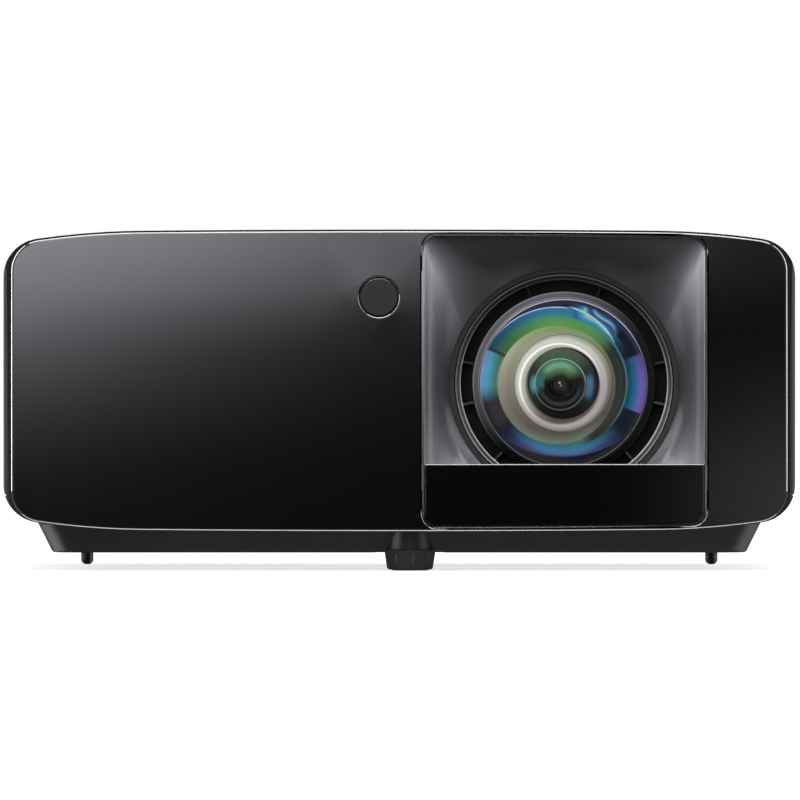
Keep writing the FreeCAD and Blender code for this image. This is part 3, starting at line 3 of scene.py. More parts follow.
import bmesh
import bpy
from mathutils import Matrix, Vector


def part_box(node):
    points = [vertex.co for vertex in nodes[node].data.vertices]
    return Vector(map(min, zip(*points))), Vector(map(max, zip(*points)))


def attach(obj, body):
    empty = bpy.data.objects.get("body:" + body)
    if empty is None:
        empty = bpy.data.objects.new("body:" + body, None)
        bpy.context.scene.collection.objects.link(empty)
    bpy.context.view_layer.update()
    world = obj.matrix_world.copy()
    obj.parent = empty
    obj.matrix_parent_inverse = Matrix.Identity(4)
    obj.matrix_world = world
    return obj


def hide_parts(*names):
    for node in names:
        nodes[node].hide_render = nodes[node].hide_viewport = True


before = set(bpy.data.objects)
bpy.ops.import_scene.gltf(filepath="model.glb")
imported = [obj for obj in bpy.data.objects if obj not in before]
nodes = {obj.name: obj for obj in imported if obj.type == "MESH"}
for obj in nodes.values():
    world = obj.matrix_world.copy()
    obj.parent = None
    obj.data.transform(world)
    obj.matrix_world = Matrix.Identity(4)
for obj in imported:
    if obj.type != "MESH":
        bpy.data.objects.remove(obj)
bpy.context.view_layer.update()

# Blender lengths are metres; the lens faces -Y. Radii of the lens are kept in millimetres.
mm = 0.001
glass_low, glass_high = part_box("front_element")
axis = (glass_low + glass_high) / 2
glass_radius = (glass_high.x - glass_low.x) / 2 / mm
ring_low, ring_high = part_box("focus_ring")
ring_outer = (ring_high.x - ring_low.x) / 2 / mm
panel_low, panel_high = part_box("front_panel")
plate_low, plate_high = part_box("lens_lower_panel")
bezel_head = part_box("lens_bezel")[1].z
panel_crown = 0.055         # the panel's long edges curve in by this times x squared
tray_head = 16.3 * mm       # height at which the tray meets the casing


# ---------------------------------------------------------------- node helpers

class Tree:
    """Node tree of a material or world, with short calls for its nodes."""

    def __init__(self, owner):
        owner.use_nodes = True
        self.tree = owner.node_tree
        self.tree.nodes.clear()

    def node(self, kind, inputs=None, **settings):
        made = self.tree.nodes.new("ShaderNode" + kind)
        for key, value in settings.items():
            setattr(made, key, value)
        for key, value in (inputs or {}).items():
            self.put(made.inputs[key], value)
        return made

    def put(self, socket, value):
        """Links or writes a value to a socket."""
        if isinstance(value, bpy.types.NodeSocket):
            self.tree.links.new(value, socket)
        elif socket.type == "RGBA":
            socket.default_value = rgba(value)
        else:
            socket.default_value = value

    def math(self, operation, *values, clamp=False):
        return self.node("Math", dict(enumerate(values)), operation=operation,
                         use_clamp=clamp).outputs[0]

    def end(self, kind, surface):
        self.tree.links.new(surface, self.node(kind).inputs["Surface"])


class Paint(Tree):
    """One material, painted by place on the piece."""

    def __init__(self, name):
        self.material = bpy.data.materials.new(name)
        super().__init__(self.material)
        self.place = self.node("TexCoord").outputs["Object"]

    def times(self, *values):
        """Product of the values; of masks, where they all hold."""
        made = values[0]
        for value in values[1:]:
            made = self.math("MULTIPLY", made, value)
        return made

    def linear(self, value, slope, offset, clamp=False):
        """value x slope + offset."""
        return self.math("MULTIPLY_ADD", value, slope, offset, clamp=clamp)

    def minus(self, a, b):
        return self.math("SUBTRACT", a, b)

    def larger(self, a, b):
        return self.math("MAXIMUM", a, b)

    def size(self, value):
        """value without its sign."""
        return self.math("ABSOLUTE", value)

    def mix(self, factor, a, b):
        return self.node("Mix", {0: factor, 6: a, 7: b}, data_type="RGBA").outputs[2]

    def step(self, value, low, high, out_low=0.0, out_high=1.0):
        """Smooth step from out_low to out_high while value goes from low to high."""
        made = self.node("MapRange", {0: value, 1: low, 2: high, 3: out_low, 4: out_high},
                         interpolation_type="SMOOTHSTEP")
        return made.outputs[0]

    def band(self, value, a, b, c, d):
        """0 before a, 1 from b to c, 0 after d."""
        return self.times(self.step(value, a, b), self.step(value, c, d, 1.0, 0.0))

    def ramp(self, value, *stops, mode="EASE"):
        made = self.node("ValToRGB", {0: value})
        ramp = made.color_ramp
        ramp.interpolation = mode
        while len(ramp.elements) < len(stops):
            ramp.elements.new(0.5)
        for element, (position, colour) in zip(ramp.elements, stops):
            element.position, element.color = position, rgba(colour)
        return made.outputs[0]

    def noise(self, size, detail=3.0, rough=0.5, bend=0.0, place=None):
        """Noise from 0 to 1 whose features are about size metres across."""
        made = self.node("TexNoise", {"Vector": place or self.place, "Scale": 1.0 / size,
                                      "Detail": detail, "Roughness": rough, "Distortion": bend})
        return made.outputs[0]

    def bump(self, height, depth, under=None):
        inputs = {"Strength": 1.0, "Distance": depth, "Height": height}
        if under:
            inputs["Normal"] = under
        return self.node("Bump", inputs).outputs[0]

    def edges(self, reach):
        """0 on flat faces, rising to 1 on corners and edges within reach metres."""
        soft = self.node("Bevel", {"Radius": reach}, samples=4).outputs[0]
        along = self.node("VectorMath", {0: soft, 1: self.normal()}, operation="DOT_PRODUCT")
        return self.step(along.outputs["Value"], 0.995, 0.8)

    def normal(self):
        return self.node("NewGeometry").outputs["Normal"]

    def axes(self):
        """Object-space x, y and z in metres."""
        return self.node("SeparateXYZ", {0: self.place}).outputs

    def polar(self, shift=(0.0, 0.0)):
        """Distance from the lens axis, moved by shift, and the offsets right and up from it, in
        millimetres."""
        x, _, z = self.axes()
        dx = self.linear(x, 1 / mm, -(axis.x / mm + shift[0]))
        dz = self.linear(z, 1 / mm, -(axis.z / mm + shift[1]))
        return self.math("SQRT", self.linear(dx, dx, self.times(dz, dz))), dx, dz

    def bearing(self, across, along):
        """Angle in degrees from along, positive towards across."""
        return self.times(self.math("ARCTAN2", across, along), 180 / math.pi)

    def shade(self, colour, roughness, normal=None, **fixed):
        inputs = {"Base Color": colour, "Roughness": roughness}
        inputs.update({key.replace("_", " "): value for key, value in fixed.items()})
        if normal:
            inputs["Normal"] = normal
        return self.out(self.node("BsdfPrincipled", inputs).outputs[0])

    def out(self, surface):
        self.end("OutputMaterial", surface)
        return self.material


def rgba(colour):
    if isinstance(colour, (int, float)):
        colour = (colour,) * 3
    return (*colour[:3], 1.0)


def tint(code):
    """Linear colour of an sRGB hex code."""
    parts = [int(code[i:i + 2], 16) / 255 for i in (0, 2, 4)]
    return tuple(c / 12.92 if c <= 0.04045 else ((c + 0.055) / 1.055) ** 2.4 for c in parts)


def scaled(colour, factor):
    colour = rgba(colour)[:3]
    return tuple(min(1.0, c * factor) for c in colour)


# ---------------------------------------------------------------- finishes

def painted_side_highlight(p, tone, left_highlight, right_highlight, turns, head):
    """Painted highlight: lightens the sides of a round form below the height head, by which way
    they
    face. The painted light rises over the first two values in turns and falls over the last two:
    0 faces forwards or back, 1 faces sideways."""
    across = p.node("SeparateXYZ", {0: p.normal()}).outputs[0]
    height = p.axes()[2]
    lit = p.times(p.band(p.size(across), *turns), p.step(height, head, head - 0.4 * mm))
    return p.mix(lit, tone, p.mix(p.step(across, -0.01, 0.01), left_highlight, right_highlight))


def moulded(name, colour, rough, grain=0.6 * mm, depth=0.012 * mm, drift=0.06, polish=0.25,
            lit=None, **fixed):
    """Moulded plastic: fine spark grain, slow drift of tone and sheen, and polished edges; with
    lit, a painted highlight on the sides.
    """
    p = Paint(name)
    fine, slow = p.noise(grain, 4.0, 0.6), p.noise(28 * mm, 3.0)
    worn = p.edges(0.7 * mm)
    tone = p.mix(slow, scaled(colour, 0.88), scaled(colour, 1.14))
    tone = p.mix(p.times(worn, polish), tone, scaled(colour, 2.0))
    # with lit: a painted highlight on the sides that face left and right
    if lit:
        tone = painted_side_highlight(p, tone, **lit)
    sheen = p.linear(slow, drift, rough - drift / 2)
    sheen = p.linear(fine, drift, p.minus(sheen, drift / 2))
    sheen = p.math("SUBTRACT", sheen, p.times(worn, polish * rough * 0.5), clamp=True)
    return p.shade(tone, sheen, p.bump(fine, depth), **fixed)


def bezel_distances(p):
    """Distance outwards from the lower plate's sides, and inwards from the front panel's lower and
    upper edge, in metres."""
    x, _, z = p.axes()
    middle, half = (plate_low.x + plate_high.x) / 2, (plate_high.x - plate_low.x) / 2
    aside = p.minus(p.size(p.minus(x, middle)), half)
    crown = p.times(x, x, panel_crown)
    over_foot = p.minus(p.minus(z, panel_low.z), crown)
    under_head = p.minus(p.minus(panel_high.z, z), crown)
    return aside, over_foot, under_head


def recess(name, colour):
    """Satin graphite of the lens recess: soft creases and walls that roll over towards the round
    opening, with painted shade deep in towards the upper corners and near black in the throat, and
    a thin rim
    with painted light: dark at the head, lighter below, and painted highlight lines along its edges
    and at the foot."""
    # painted shade and light: tones of the throat and the rim, and of the highlight lines on the
    # rim and edges
    throat_shade, lit_rim, shaded_rim, side_highlight_line, foot_highlight_line = 0.04, 0.22, 0.03, 0.38, 0.85
    front_edge_highlight, foot_edge_highlight, satin = 0.36, 0.6, 0.42
    p = Paint(name)
    start, end = plate_low.y + 5 * mm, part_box("lens_barrel")[0].y - 4 * mm
    x, y, z = p.axes()
    depth = p.math("DIVIDE", p.minus(y, start), end - start, clamp=True)
    # shape: the bevel softens the creases half-way in and low down, the bump curves the walls
    low_part = p.times(p.step(depth, 0.1, 0.45), p.step(z, axis.z - 3 * mm, axis.z - 13 * mm))
    eased = p.larger(p.band(depth, 0.1, 0.35, 0.5, 0.8), low_part)
    soft = p.node("Bevel", {"Radius": 6 * mm}, samples=8).outputs[0]
    surface = p.node("Mix", {0: eased, 4: p.normal(), 5: soft}, data_type="VECTOR").outputs[1]
    middle = p.minus(depth, 0.5)
    horn = p.bump(p.times(middle, middle, -1.0), 0.6 * mm, surface)
    # tone of the walls, with painted shade: darker deep in towards the upper corners, near black in
    # the throat
    fine, slow = p.noise(0.35 * mm, 4.0, 0.6), p.noise(14 * mm, 2.0)
    aside = p.size(p.minus(x, axis.x))
    shaded = p.times(p.step(depth, 0.3, 1.0), p.step(z, axis.z - 26 * mm, axis.z - 4 * mm),
                     p.step(aside, 14 * mm, 30 * mm))
    throat = p.step(p.polar()[0], ring_outer + 2.5, ring_outer + 2.2)
    tone = p.mix(slow, scaled(colour, 0.94), scaled(colour, 1.06))
    tone = p.mix(throat, p.mix(shaded, tone, scaled(colour, 0.42)), throat_shade)
    # rim round the mouth, with painted light: dark at the head, lighter below, and painted
    # highlight lines at its outer sides and its foot
    front = p.step(y, start + 0.5 * mm, start)
    lower = p.step(z, plate_high.z, plate_high.z - 1 * mm)
    outward, over_foot, _ = bezel_distances(p)
    rim = p.mix(p.step(z, bezel_head - 9 * mm, bezel_head - 4 * mm), lit_rim, shaded_rim)
    low_rim = p.mix(p.step(outward, 0.28 * mm, 0.36 * mm), shaded_rim, side_highlight_line)
    low_rim = p.mix(p.step(over_foot, 1.42 * mm, 1.32 * mm), low_rim, foot_highlight_line)
    tone = p.mix(front, tone, p.mix(lower, rim, low_rim))
    # painted highlight along the front edges, brighter at the foot
    edge = p.times(p.edges(0.12 * mm), p.step(y, start + 1.2 * mm, start + 0.6 * mm))
    tone = p.mix(edge, tone, p.mix(lower, front_edge_highlight, foot_edge_highlight))
    sheen = p.times(p.larger(p.linear(fine, 0.08, satin), throat), p.linear(front, -0.7, 1.0))
    return p.shade(tone, sheen, p.bump(fine, 0.004 * mm, horn), Metallic=1.0)


def turned_face(name, inner, outer, lean, face_tone, edge_highlight_tone, towards, spread, least):
    """Turned black ring between two radii: fine circular lines and painted highlight lines at its
    edges,
    the face leaning by lean. Painted light: it is brightest in the direction towards, and from
    there dims to the share least where the facing has fallen to spread."""
    p = Paint(name)
    r, dx, dz = p.polar()
    facing = p.linear(dx, towards[0] / outer, p.times(dz, towards[1] / outer))
    fine = p.noise(0.4 * mm, 3.0, 0.6)
    grooves = p.math("SINE", p.times(r, 21.0))
    lines = p.math("ADD", p.band(r, inner - 0.2, inner, inner + 0.2, inner + 0.45),
                   p.band(r, outer - 0.5, outer - 0.25, outer, outer + 0.2), clamp=True)
    across = p.band(r, inner - 0.3, inner, outer, outer + 0.2)
    face = p.mix(fine, scaled(face_tone, 0.8), scaled(face_tone, 1.3))
    # painted highlight lines at the inner and outer edge, and darker off the face
    tone = p.mix(lines, p.mix(across, scaled(face_tone, 0.35), face), edge_highlight_tone)
    # painted light and shade by bearing round the ring
    tone = p.mix(p.step(facing, spread, 1.0, least, 1.0), 0.004, tone)
    slope = p.bump(p.times(r, lean), 1.0 * mm)
    return p.shade(tone, p.linear(fine, 0.15, 0.34), p.bump(grooves, 0.006 * mm, slope),
                   Specular_IOR_Level=0.1)


def gloss(name, colour):
    """Polished piano black with a faint long wave and a trace of haze. Next to the bezel it has
    painted
    shade: near black and mirroring nothing, so that only the bezel's rim draws a line there."""
    rough = 0.02
    p = Paint(name)
    slow, haze = p.noise(22 * mm, 1.5), p.noise(1.4 * mm, 3.0, 0.6)
    aside, over_foot, under_head = bezel_distances(p)
    foot, head = plate_low.z + 4 * mm, bezel_head - 8 * mm
    painted_shade_strip = p.times(p.band(aside, 0.7 * mm, 0.8 * mm, 1.4 * mm, 1.7 * mm),
                   p.band(p.axes()[2], foot, foot + 2 * mm, head, head + 2 * mm))
    # painted shade on the narrow strips of panel over and under the bezel: only their outer half
    # mirrors
    for gap in (over_foot, under_head):
        strip = p.times(p.band(gap, 0.32 * mm, 0.42 * mm, 1.0 * mm, 1.2 * mm),
                        p.step(aside, -6 * mm, -9 * mm))
        painted_shade_strip = p.larger(painted_shade_strip, strip)
    tone = p.mix(slow, scaled(colour, 0.92), scaled(colour, 1.08))
    # painted shade: near black beside the bezel
    tone = p.mix(painted_shade_strip, tone, scaled(colour, 0.1))
    round_edge = p.node("Bevel", {"Radius": 0.6 * mm}, samples=8).outputs[0]
    return p.shade(tone, p.linear(haze, rough * 0.6, rough * 0.7),
                   p.bump(slow, 0.0004 * mm, round_edge), Metallic=painted_shade_strip)


def metal(name, colour, rough, stretch=(1.0, 1.0, 1.0), grain=0.4 * mm, depth=0.006 * mm):
    """Metal with a directional grain, blotchy sheen and brighter edges."""
    p = Paint(name)
    along = p.node("Mapping", {"Vector": p.place, "Scale": stretch}).outputs[0]
    fine, slow = p.noise(grain, 4.0, 0.6, place=along), p.noise(9 * mm, 3.0)
    worn = p.edges(0.5 * mm)
    tone = p.mix(slow, scaled(colour, 0.85), scaled(colour, 1.1))
    tone = p.mix(p.times(worn, 0.5), tone, scaled(colour, 1.3))
    sheen = p.linear(fine, 0.2, p.linear(slow, 0.1, rough - 0.15), clamp=True)
    return p.shade(tone, sheen, p.bump(fine, depth), Metallic=1.0)


def board(name, colour):
    """Solder mask over copper tracks."""
    p = Paint(name)
    cells = p.node("TexVoronoi", {"Vector": p.place, "Scale": 260.0}, feature="DISTANCE_TO_EDGE")
    copper = p.step(cells.outputs[0], 0.08, 0.03)
    tone = p.mix(copper, colour, scaled(colour, 1.9))
    fine = p.noise(0.8 * mm, 3.0)
    return p.shade(tone, p.linear(fine, 0.15, 0.28), p.bump(copper, 0.02 * mm))


def clear(name, colour):
    """Clear moulded plastic with faint flow marks."""
    p = Paint(name)
    flow = p.noise(3 * mm, 2.0, 0.5, 1.0)
    tone = p.mix(flow, scaled(colour, 0.9), colour)
    return p.shade(tone, p.linear(flow, 0.08, 0.05), p.bump(flow, 0.01 * mm),
                   Transmission_Weight=0.85, IOR=1.49)


# painted highlights on the rounded corners of the tray, lighter at the left, and on the rear feet,
# lighter at the right
tray_painted_highlight = {"left_highlight": 0.105, "right_highlight": 0.058, "turns": (0.3, 0.6, 0.66, 0.84),
              "head": tray_head}
foot_painted_highlight = {"left_highlight": 0.045, "right_highlight": 0.07, "turns": (0.35, 0.6, 0.8, 0.97),
              "head": 6.0 * mm}
finishes = {
    "casing_black": moulded("casing_black", (0.017, 0.017, 0.0175), 0.5, Specular_IOR_Level=0.1),
    "tray_black": moulded("tray_black", (0.017, 0.017, 0.0175), 0.5, lit=tray_painted_highlight,
                          Specular_IOR_Level=0.1),
    "rear_foot_black": moulded("rear_foot_black", (0.005, 0.005, 0.005), 0.4, lit=foot_painted_highlight,
                               Specular_IOR_Level=0.2),
    "casing_gloss": moulded("casing_gloss", (0.01, 0.01, 0.0105), 0.42, 0.5 * mm, 0.006 * mm,
                            Specular_IOR_Level=0.1),
    "panel_gloss": gloss("panel_gloss", (0.0026, 0.0026, 0.0028)),
    "window_black": moulded("window_black", (0.006, 0.0057, 0.0064), 0.24, 0.35 * mm, 0.003 * mm,
                            Specular_IOR_Level=0.22),
    "recess_charcoal": recess("recess_charcoal", (0.125, 0.122, 0.134)),
    "keypad_black": moulded("keypad_black", (0.02, 0.02, 0.021), 0.3),
    "key_black": moulded("key_black", (0.028, 0.028, 0.03), 0.45),
    "circuit_board": board("circuit_board", (0.02, 0.11, 0.045)),
    "clear_plastic": clear("clear_plastic", (0.75, 0.77, 0.8)),
    "foot_black": moulded("foot_black", (0.02, 0.02, 0.02), 0.4),
    "rubber": moulded("rubber", (0.01, 0.01, 0.01), 0.75, 0.4 * mm, 0.02 * mm),
    "screw_black": metal("screw_black", (0.03, 0.03, 0.032), 0.4),
    "screw_steel": metal("screw_steel", (0.5, 0.5, 0.52), 0.3),
    "brass": metal("brass", (0.72, 0.55, 0.25), 0.3),
    "barrel_black": moulded("barrel_black", (0.005, 0.0045, 0.0048), 0.5, 0.3 * mm, 0.006 * mm,
                            polish=0.1, Specular_IOR_Level=0.12),
    "trim_black": moulded("trim_black", (0.06, 0.056, 0.066), 0.4, 0.5 * mm, 0.03 * mm),
    "lens_glass": clear("lens_glass", (0.8, 0.9, 0.88)),
    "hood_grey": moulded("hood_grey", (0.42, 0.4, 0.36), 0.45, 0.5 * mm, 0.01 * mm),
    "casting": metal("casting", (0.52, 0.53, 0.54), 0.5, grain=0.8 * mm, depth=0.03 * mm),
    "mirror": metal("mirror", (0.85, 0.87, 0.88), 0.16, depth=0.0005 * mm),
    "wheel_plate": metal("wheel_plate", (0.8, 0.78, 0.55), 0.5),
    "copper_brass": metal("copper_brass", (0.75, 0.5, 0.3), 0.35),
    "heat_sink": metal("heat_sink", (0.6, 0.61, 0.62), 0.4, (1.0, 1.0, 0.08)),
    "chip_ceramic": moulded("chip_ceramic", (0.25, 0.25, 0.26), 0.5),
    "fan_black": moulded("fan_black", (0.022, 0.022, 0.023), 0.4),
    "supply_parts": moulded("supply_parts", (0.1, 0.09, 0.08), 0.4),
    "socket_steel": metal("socket_steel", (0.55, 0.55, 0.56), 0.32, (0.1, 1.0, 1.0)),
    "socket_black": moulded("socket_black", (0.016, 0.016, 0.017), 0.42),
    "speaker_black": moulded("speaker_black", (0.03, 0.03, 0.032), 0.5),
}
# each node has its CAD slots' finishes, and a few nodes have one of their own
for piece in nodes.values():
    for holder in piece.material_slots:
        holder.material = finishes[holder.material.name.split(".")[0]]
for holder in nodes["bottom_case"].material_slots:
    if holder.material == finishes["casing_black"]:
        holder.material = finishes["tray_black"]
for side in ("left", "right"):
    for piece in (nodes["rear_foot_screw_" + side], nodes["rear_foot_pad_" + side]):
        piece.material_slots[0].material = finishes["rear_foot_black"]
# painted light: the focus ring is lightest at its foot, the trim ring at its upper left
nodes["focus_ring"].material_slots[0].material = turned_face(
    "focus_ring_turned", ring_outer - 1.8, ring_outer, 0.55, (0.02, 0.02, 0.0205),
    (0.42, 0.42, 0.42), towards=(0, -1), spread=-0.8, least=0.1)
nodes["lens_trim_ring"].material_slots[0].material = turned_face(
    "trim_ring_turned", glass_radius + 0.1, glass_radius + 2.4, -0.5, (0.16, 0.153, 0.18),
    (0.36, 0.36, 0.4), towards=(-0.65, 0.8), spread=-0.2, least=0.03)


# ---------------------------------------------------------------- lens

def add_object(name, mesh, *materials):
    made = bpy.data.objects.new(name, mesh)
    bpy.context.scene.collection.objects.link(made)
    for material in materials:
        mesh.materials.append(material)
    return made


def turned(name, profile, *materials, bands=(), segments=256):
    """A turned piece on the lens axis from (radius, y) pairs in millimetres. bands gives the
    material of each run of the profile."""
    built = bmesh.new()
    rings = []
    for r, y in profile:
        if r < 1e-6:
            rings.append([built.verts.new((axis.x, y * mm, axis.z))])
            continue
        turns = (2 * math.pi * i / segments for i in range(segments))
        rings.append([built.verts.new((axis.x + r * mm * math.cos(a), y * mm,
                                       axis.z + r * mm * math.sin(a))) for a in turns])
    for k, (one, two) in enumerate(zip(rings, rings[1:])):
        for i in range(segments):
            j = (i + 1) % segments
            # at the axis a ring is one vertex, so its four corners come down to three
            corners = [one[i % len(one)], one[j % len(one)], two[j % len(two)], two[i % len(two)]]
            face = built.faces.new(list(dict.fromkeys(corners)))
            face.smooth = True
            face.material_index = bands[k] if bands else 0
    bmesh.ops.recalc_face_normals(built, faces=built.faces)
    mesh = bpy.data.meshes.new(name)
    built.to_mesh(mesh)
    built.free()
    mesh.set_sharp_from_angle(angle=math.radians(32))
    return add_object(name, mesh, *materials)


def dome(apex, radius, reach, count):
    """Points of a spherical face from its rim at reach to its apex."""
    return [(reach * i / count, apex + radius - math.sqrt(radius ** 2 - (reach * i / count) ** 2))
            for i in range(count, -1, -1)]


def coated_glass(name, strength, tone):
    """Clear coated glass: only its reflections show, stronger and tinted towards the rim."""
    p = Paint(name)
    smear = p.noise(7 * mm, 3.0, 0.55, 0.6)
    facing = p.node("LayerWeight", {"Blend": 0.35}).outputs["Facing"]
    shine = p.linear(p.math("POWER", facing, 3.0), strength * 6, strength)
    shine = p.math("MULTIPLY", shine, p.step(smear, 0.1, 0.9, 0.85, 1.1), clamp=True)
    mirror = p.node("BsdfGlossy", {"Color": p.mix(facing, tone, 1.0), "Roughness": 0.03,
                                   "Normal": p.bump(smear, 0.001 * mm)}).outputs[0]
    through = p.node("BsdfTransparent", {"Color": 1.0}).outputs[0]
    return p.out(p.node("MixShader", {0: shine, 1: through, 2: mirror}).outputs[0])


# Most colours of the lens are painted: reflections of the coating, highlights, shade, and the light
# on the pale disc and the focus cell.
# The lens is painted by radius in millimetres and by bearing in degrees: top from straight up and
# foot from straight down, both positive to the right. The pale disc and the focus cell show a
# little off the axis, because the photograph looks at the lens from slightly aside.
disc_shift = (-2.4, -0.67)
cell_shift = (-1.1, -0.4)


def lens_view(p):
    """Colours seen in the front glass: painted reflections of the coating in bands by sector, a
    dark crescent of painted shade, and the pale disc with painted light.
    """
    r, dx, dz = p.polar()
    disc, ax, az = p.polar(disc_shift)
    top = p.bearing(dx, dz)
    foot = p.bearing(dx, p.times(dz, -1.0))
    wander = p.linear(p.noise(7 * mm, 2.0), 0.9, -0.45)

    def rings(value, start, *codes):
        """Colours one millimetre apart from start outwards."""
        last = len(codes) - 1
        share = p.linear(p.math("ADD", value, wander), 1 / last, -start / last, clamp=True)
        return p.ramp(share, *[(i / last, tint(code)) for i, code in enumerate(codes)],
                      mode="LINEAR")

    def gain(factor, colour):
        return p.mix(factor, tint("10141a"), colour)

    # dark ground
    ground = p.mix(p.step(dx, -14, 10), tint("303030"), tint("151b27"))
    outside = p.mix(p.step(dz, -12, 8), tint("2a282b"), tint("2c2e44"))
    ground = p.mix(p.step(r, 27.2, 27.8), ground, outside)
    # painted reflection: upper band, green to blue, dimmed towards both ends
    upper = rings(disc, 20.5, "629452", "569450", "509255", "478a6c", "3a7f80", "2d7488", "356ea2")
    upper = gain(p.step(top, -62, -8, 0.38, 0.86), upper)
    upper = gain(p.step(top, 60, 26, 0.25, 1.0), upper)
    sector = p.times(p.band(top, -64.5, -63, 44, 66), p.step(disc, 27.3, 26.8))
    face = p.mix(sector, ground, upper)
    # painted reflection: left band, blue, dimmed towards its upper end
    side = rings(disc, 20.5, "607a6a", "456c62", "457b7a", "458c9a", "4f96b6", "5c94c4", "6d8fc0")
    side = gain(p.step(top, -62, -82, 0.72, 1.0), side)
    face = p.mix(p.band(top, -106, -90, -67, -65.5), face, side)
    # painted reflection: lower band, teal to violet blue, narrowing and dimmed to both sides
    lower = rings(r, 20.6, "5c7768", "3d6c6e", "387388", "43779f", "4f6f9c", "4a5488")
    lower = gain(p.band(foot, -58, -16, 8, 62), lower)
    limit = p.linear(p.times(foot, foot), 0.0012, 25.5)
    sector = p.times(p.band(foot, -62, -48, 44, 56), p.step(p.minus(r, limit), 0.5, -0.3))
    face = p.mix(sector, face, lower)
    # painted reflection: right band, blue to purple, dimmed towards its upper end
    purple = rings(r, 22.8, "13444f", "1b5570", "305e8c", "47629e", "6063a6", "7654a2")
    purple = gain(p.step(top, 70, 92, 0.6, 0.92), purple)
    sector = p.times(p.band(top, 67.5, 71, 111, 112.5), p.step(r, 28.9, 28.5))
    face = p.mix(sector, face, purple)
    # painted shade: dark crescent at the right, with a painted teal highlight line on its rim
    crescent = p.mix(p.step(top, 70, 140), tint("232b2b"), tint("333231"))
    sector = p.times(p.step(r, 22.5, 22.2), p.band(top, 46, 62, 150, 166))
    face = p.mix(sector, face, crescent)
    rim = p.times(p.band(r, 21.6, 22.0, 22.2, 22.6), p.band(top, 14, 40, 112, 150))
    face = p.mix(p.times(rim, 0.7), face, tint("47747a"))
    # painted highlights: light arc over the top band, and thin bright rim of the glass
    arc = p.times(p.band(disc, 26.85, 27.05, 27.2, 27.45), p.band(top, -60, -38, 0, 6))
    face = p.mix(p.times(arc, 0.9), face, tint("a9bfe4"))
    edge = p.times(p.band(r, 28.85, 29.05, 29.2, 29.4), p.step(p.size(top), 75, 40, 0.2, 1.0))
    face = p.mix(edge, face, tint("cdd1dd"))
    # painted reflection: oil-like swirls of colour in the upper right
    swirl = p.node("TexWave", {"Vector": p.place, "Scale": 62.0, "Distortion": 8.0, "Detail": 1.0,
                               "Detail Scale": 0.9}, bands_direction="DIAGONAL").outputs[1]
    film = p.ramp(swirl, (0.0, tint("28507e")), (0.35, tint("3f86a8")), (0.55, tint("62a9b8")),
                  (0.7, tint("a9b07c")), (0.8, tint("8e7a5e")), (0.88, tint("4a6bb8")),
                  (1.0, tint("2b4f86")))
    swirls = p.times(p.band(top, 5, 11, 36, 50), p.band(r, 22.4, 23.2, 26.9, 28.2))
    face = p.mix(p.times(swirls, 0.85), face, film)
    # painted highlight: a light curved line in the upper right
    painted_highlight_curve = p.size(p.minus(p.linear(top, -0.085, 27.0), r))
    sector = p.times(p.step(painted_highlight_curve, 0.5, 0.1), p.band(top, 2, 10, 40, 56))
    face = p.mix(sector, face, tint("8fc0b4"))
    # pale disc with painted light from the upper left, greenish near its edge at the top and the
    # foot
    lean = p.linear(az, 0.04, p.times(ax, -0.028))
    cream = p.ramp(p.linear(lean, 0.5, 0.5, clamp=True), (0.0, tint("574d48")),
                   (0.35, tint("635c55")), (0.6, tint("77736a")), (0.85, tint("918f7d")),
                   (1.0, tint("a3a58c")), mode="LINEAR")
    green = p.times(p.step(disc, 16.5, 20.4), p.step(p.size(az), 9, 19))
    leaf = p.mix(p.step(az, -4, 4), tint("70836f"), tint("7a9a62"))
    cream = p.mix(p.times(green, 0.85), cream, leaf)
    return p.mix(p.step(disc, 20.75, 20.4), face, cream)


def front_glass_reflection_paint():
    """Inside of the front glass: painted reflections of its coating, and specks of dust."""
    p = Paint("front_glass_painted_reflections")
    fine = p.noise(1.1 * mm, 4.0, 0.6)
    dust = p.times(p.step(fine, 0.66, 0.8), 0.1)
    return p.shade(p.mix(dust, lens_view(p), 0.4), p.linear(fine, 0.1, 0.2),
                   p.bump(fine, 0.002 * mm), Specular_IOR_Level=0.03)


def hood_paint():
    """Pale conical ring behind the glass, with fine turned lines, and the painted light, shade and
    reflections of the lens view.
    """
    p = Paint("hood_taupe")
    lines = p.noise(0.5 * mm, 3.0, 0.6)
    tone = p.mix(p.times(lines, 0.16), lens_view(p), tint("6b645c"))
    return p.shade(tone, p.linear(lines, 0.15, 0.42), p.bump(lines, 0.003 * mm),
                   Specular_IOR_Level=0.04)


def cell_paint():
    """Lip of the focus cell: inner bevel, a painted highlight on its turned edge, white ring and
    beige shoulder, in lit and shaded copies by bearing: painted light from the upper left.
    """
    first, width = 12.0, 5.0        # radius at which the lip starts, and how wide it is
    places = (0.0, 0.06, 0.26, 0.37, 0.4, 0.47, 0.51, 0.76, 0.84, 1.0)
    lit_side = ("5d665a", "a9ad9e", "b2b5a6", "d8d9cf", "fffef8", "f8f7f0", "c4c5bd", "bdbeb6",
                "adaf9f", "959c80")
    shaded_side = ("2e2a2a", "54463f", "5a4d46", "6a5f5a", "8c8684", "a09da0", "a5a2a5", "9a989b",
                 "8a8784", "6c6862")
    p = Paint("cell_lip")
    s, dx, dz = p.polar(cell_shift)
    share = p.linear(s, 1 / width, -first / width, clamp=True)
    turning = p.noise(0.35 * mm, 3.0, 0.6)
    bright, shaded_ramp = (p.ramp(share, *[(k, tint(code)) for k, code in zip(places, codes)],
                           mode="LINEAR") for codes in (lit_side, shaded_side))
    # painted light: lit colours towards the upper left, shaded ones towards the lower right
    facing = p.linear(dz, 0.05, p.times(dx, -0.03))
    tone = p.mix(p.step(facing, -0.62, 0.42), shaded_ramp, bright)
    tone = p.mix(p.times(turning, 0.1), tone, tint("8a8378"))
    return p.shade(tone, p.linear(turning, 0.15, 0.3), p.bump(turning, 0.001 * mm),
                   Specular_IOR_Level=0.3)


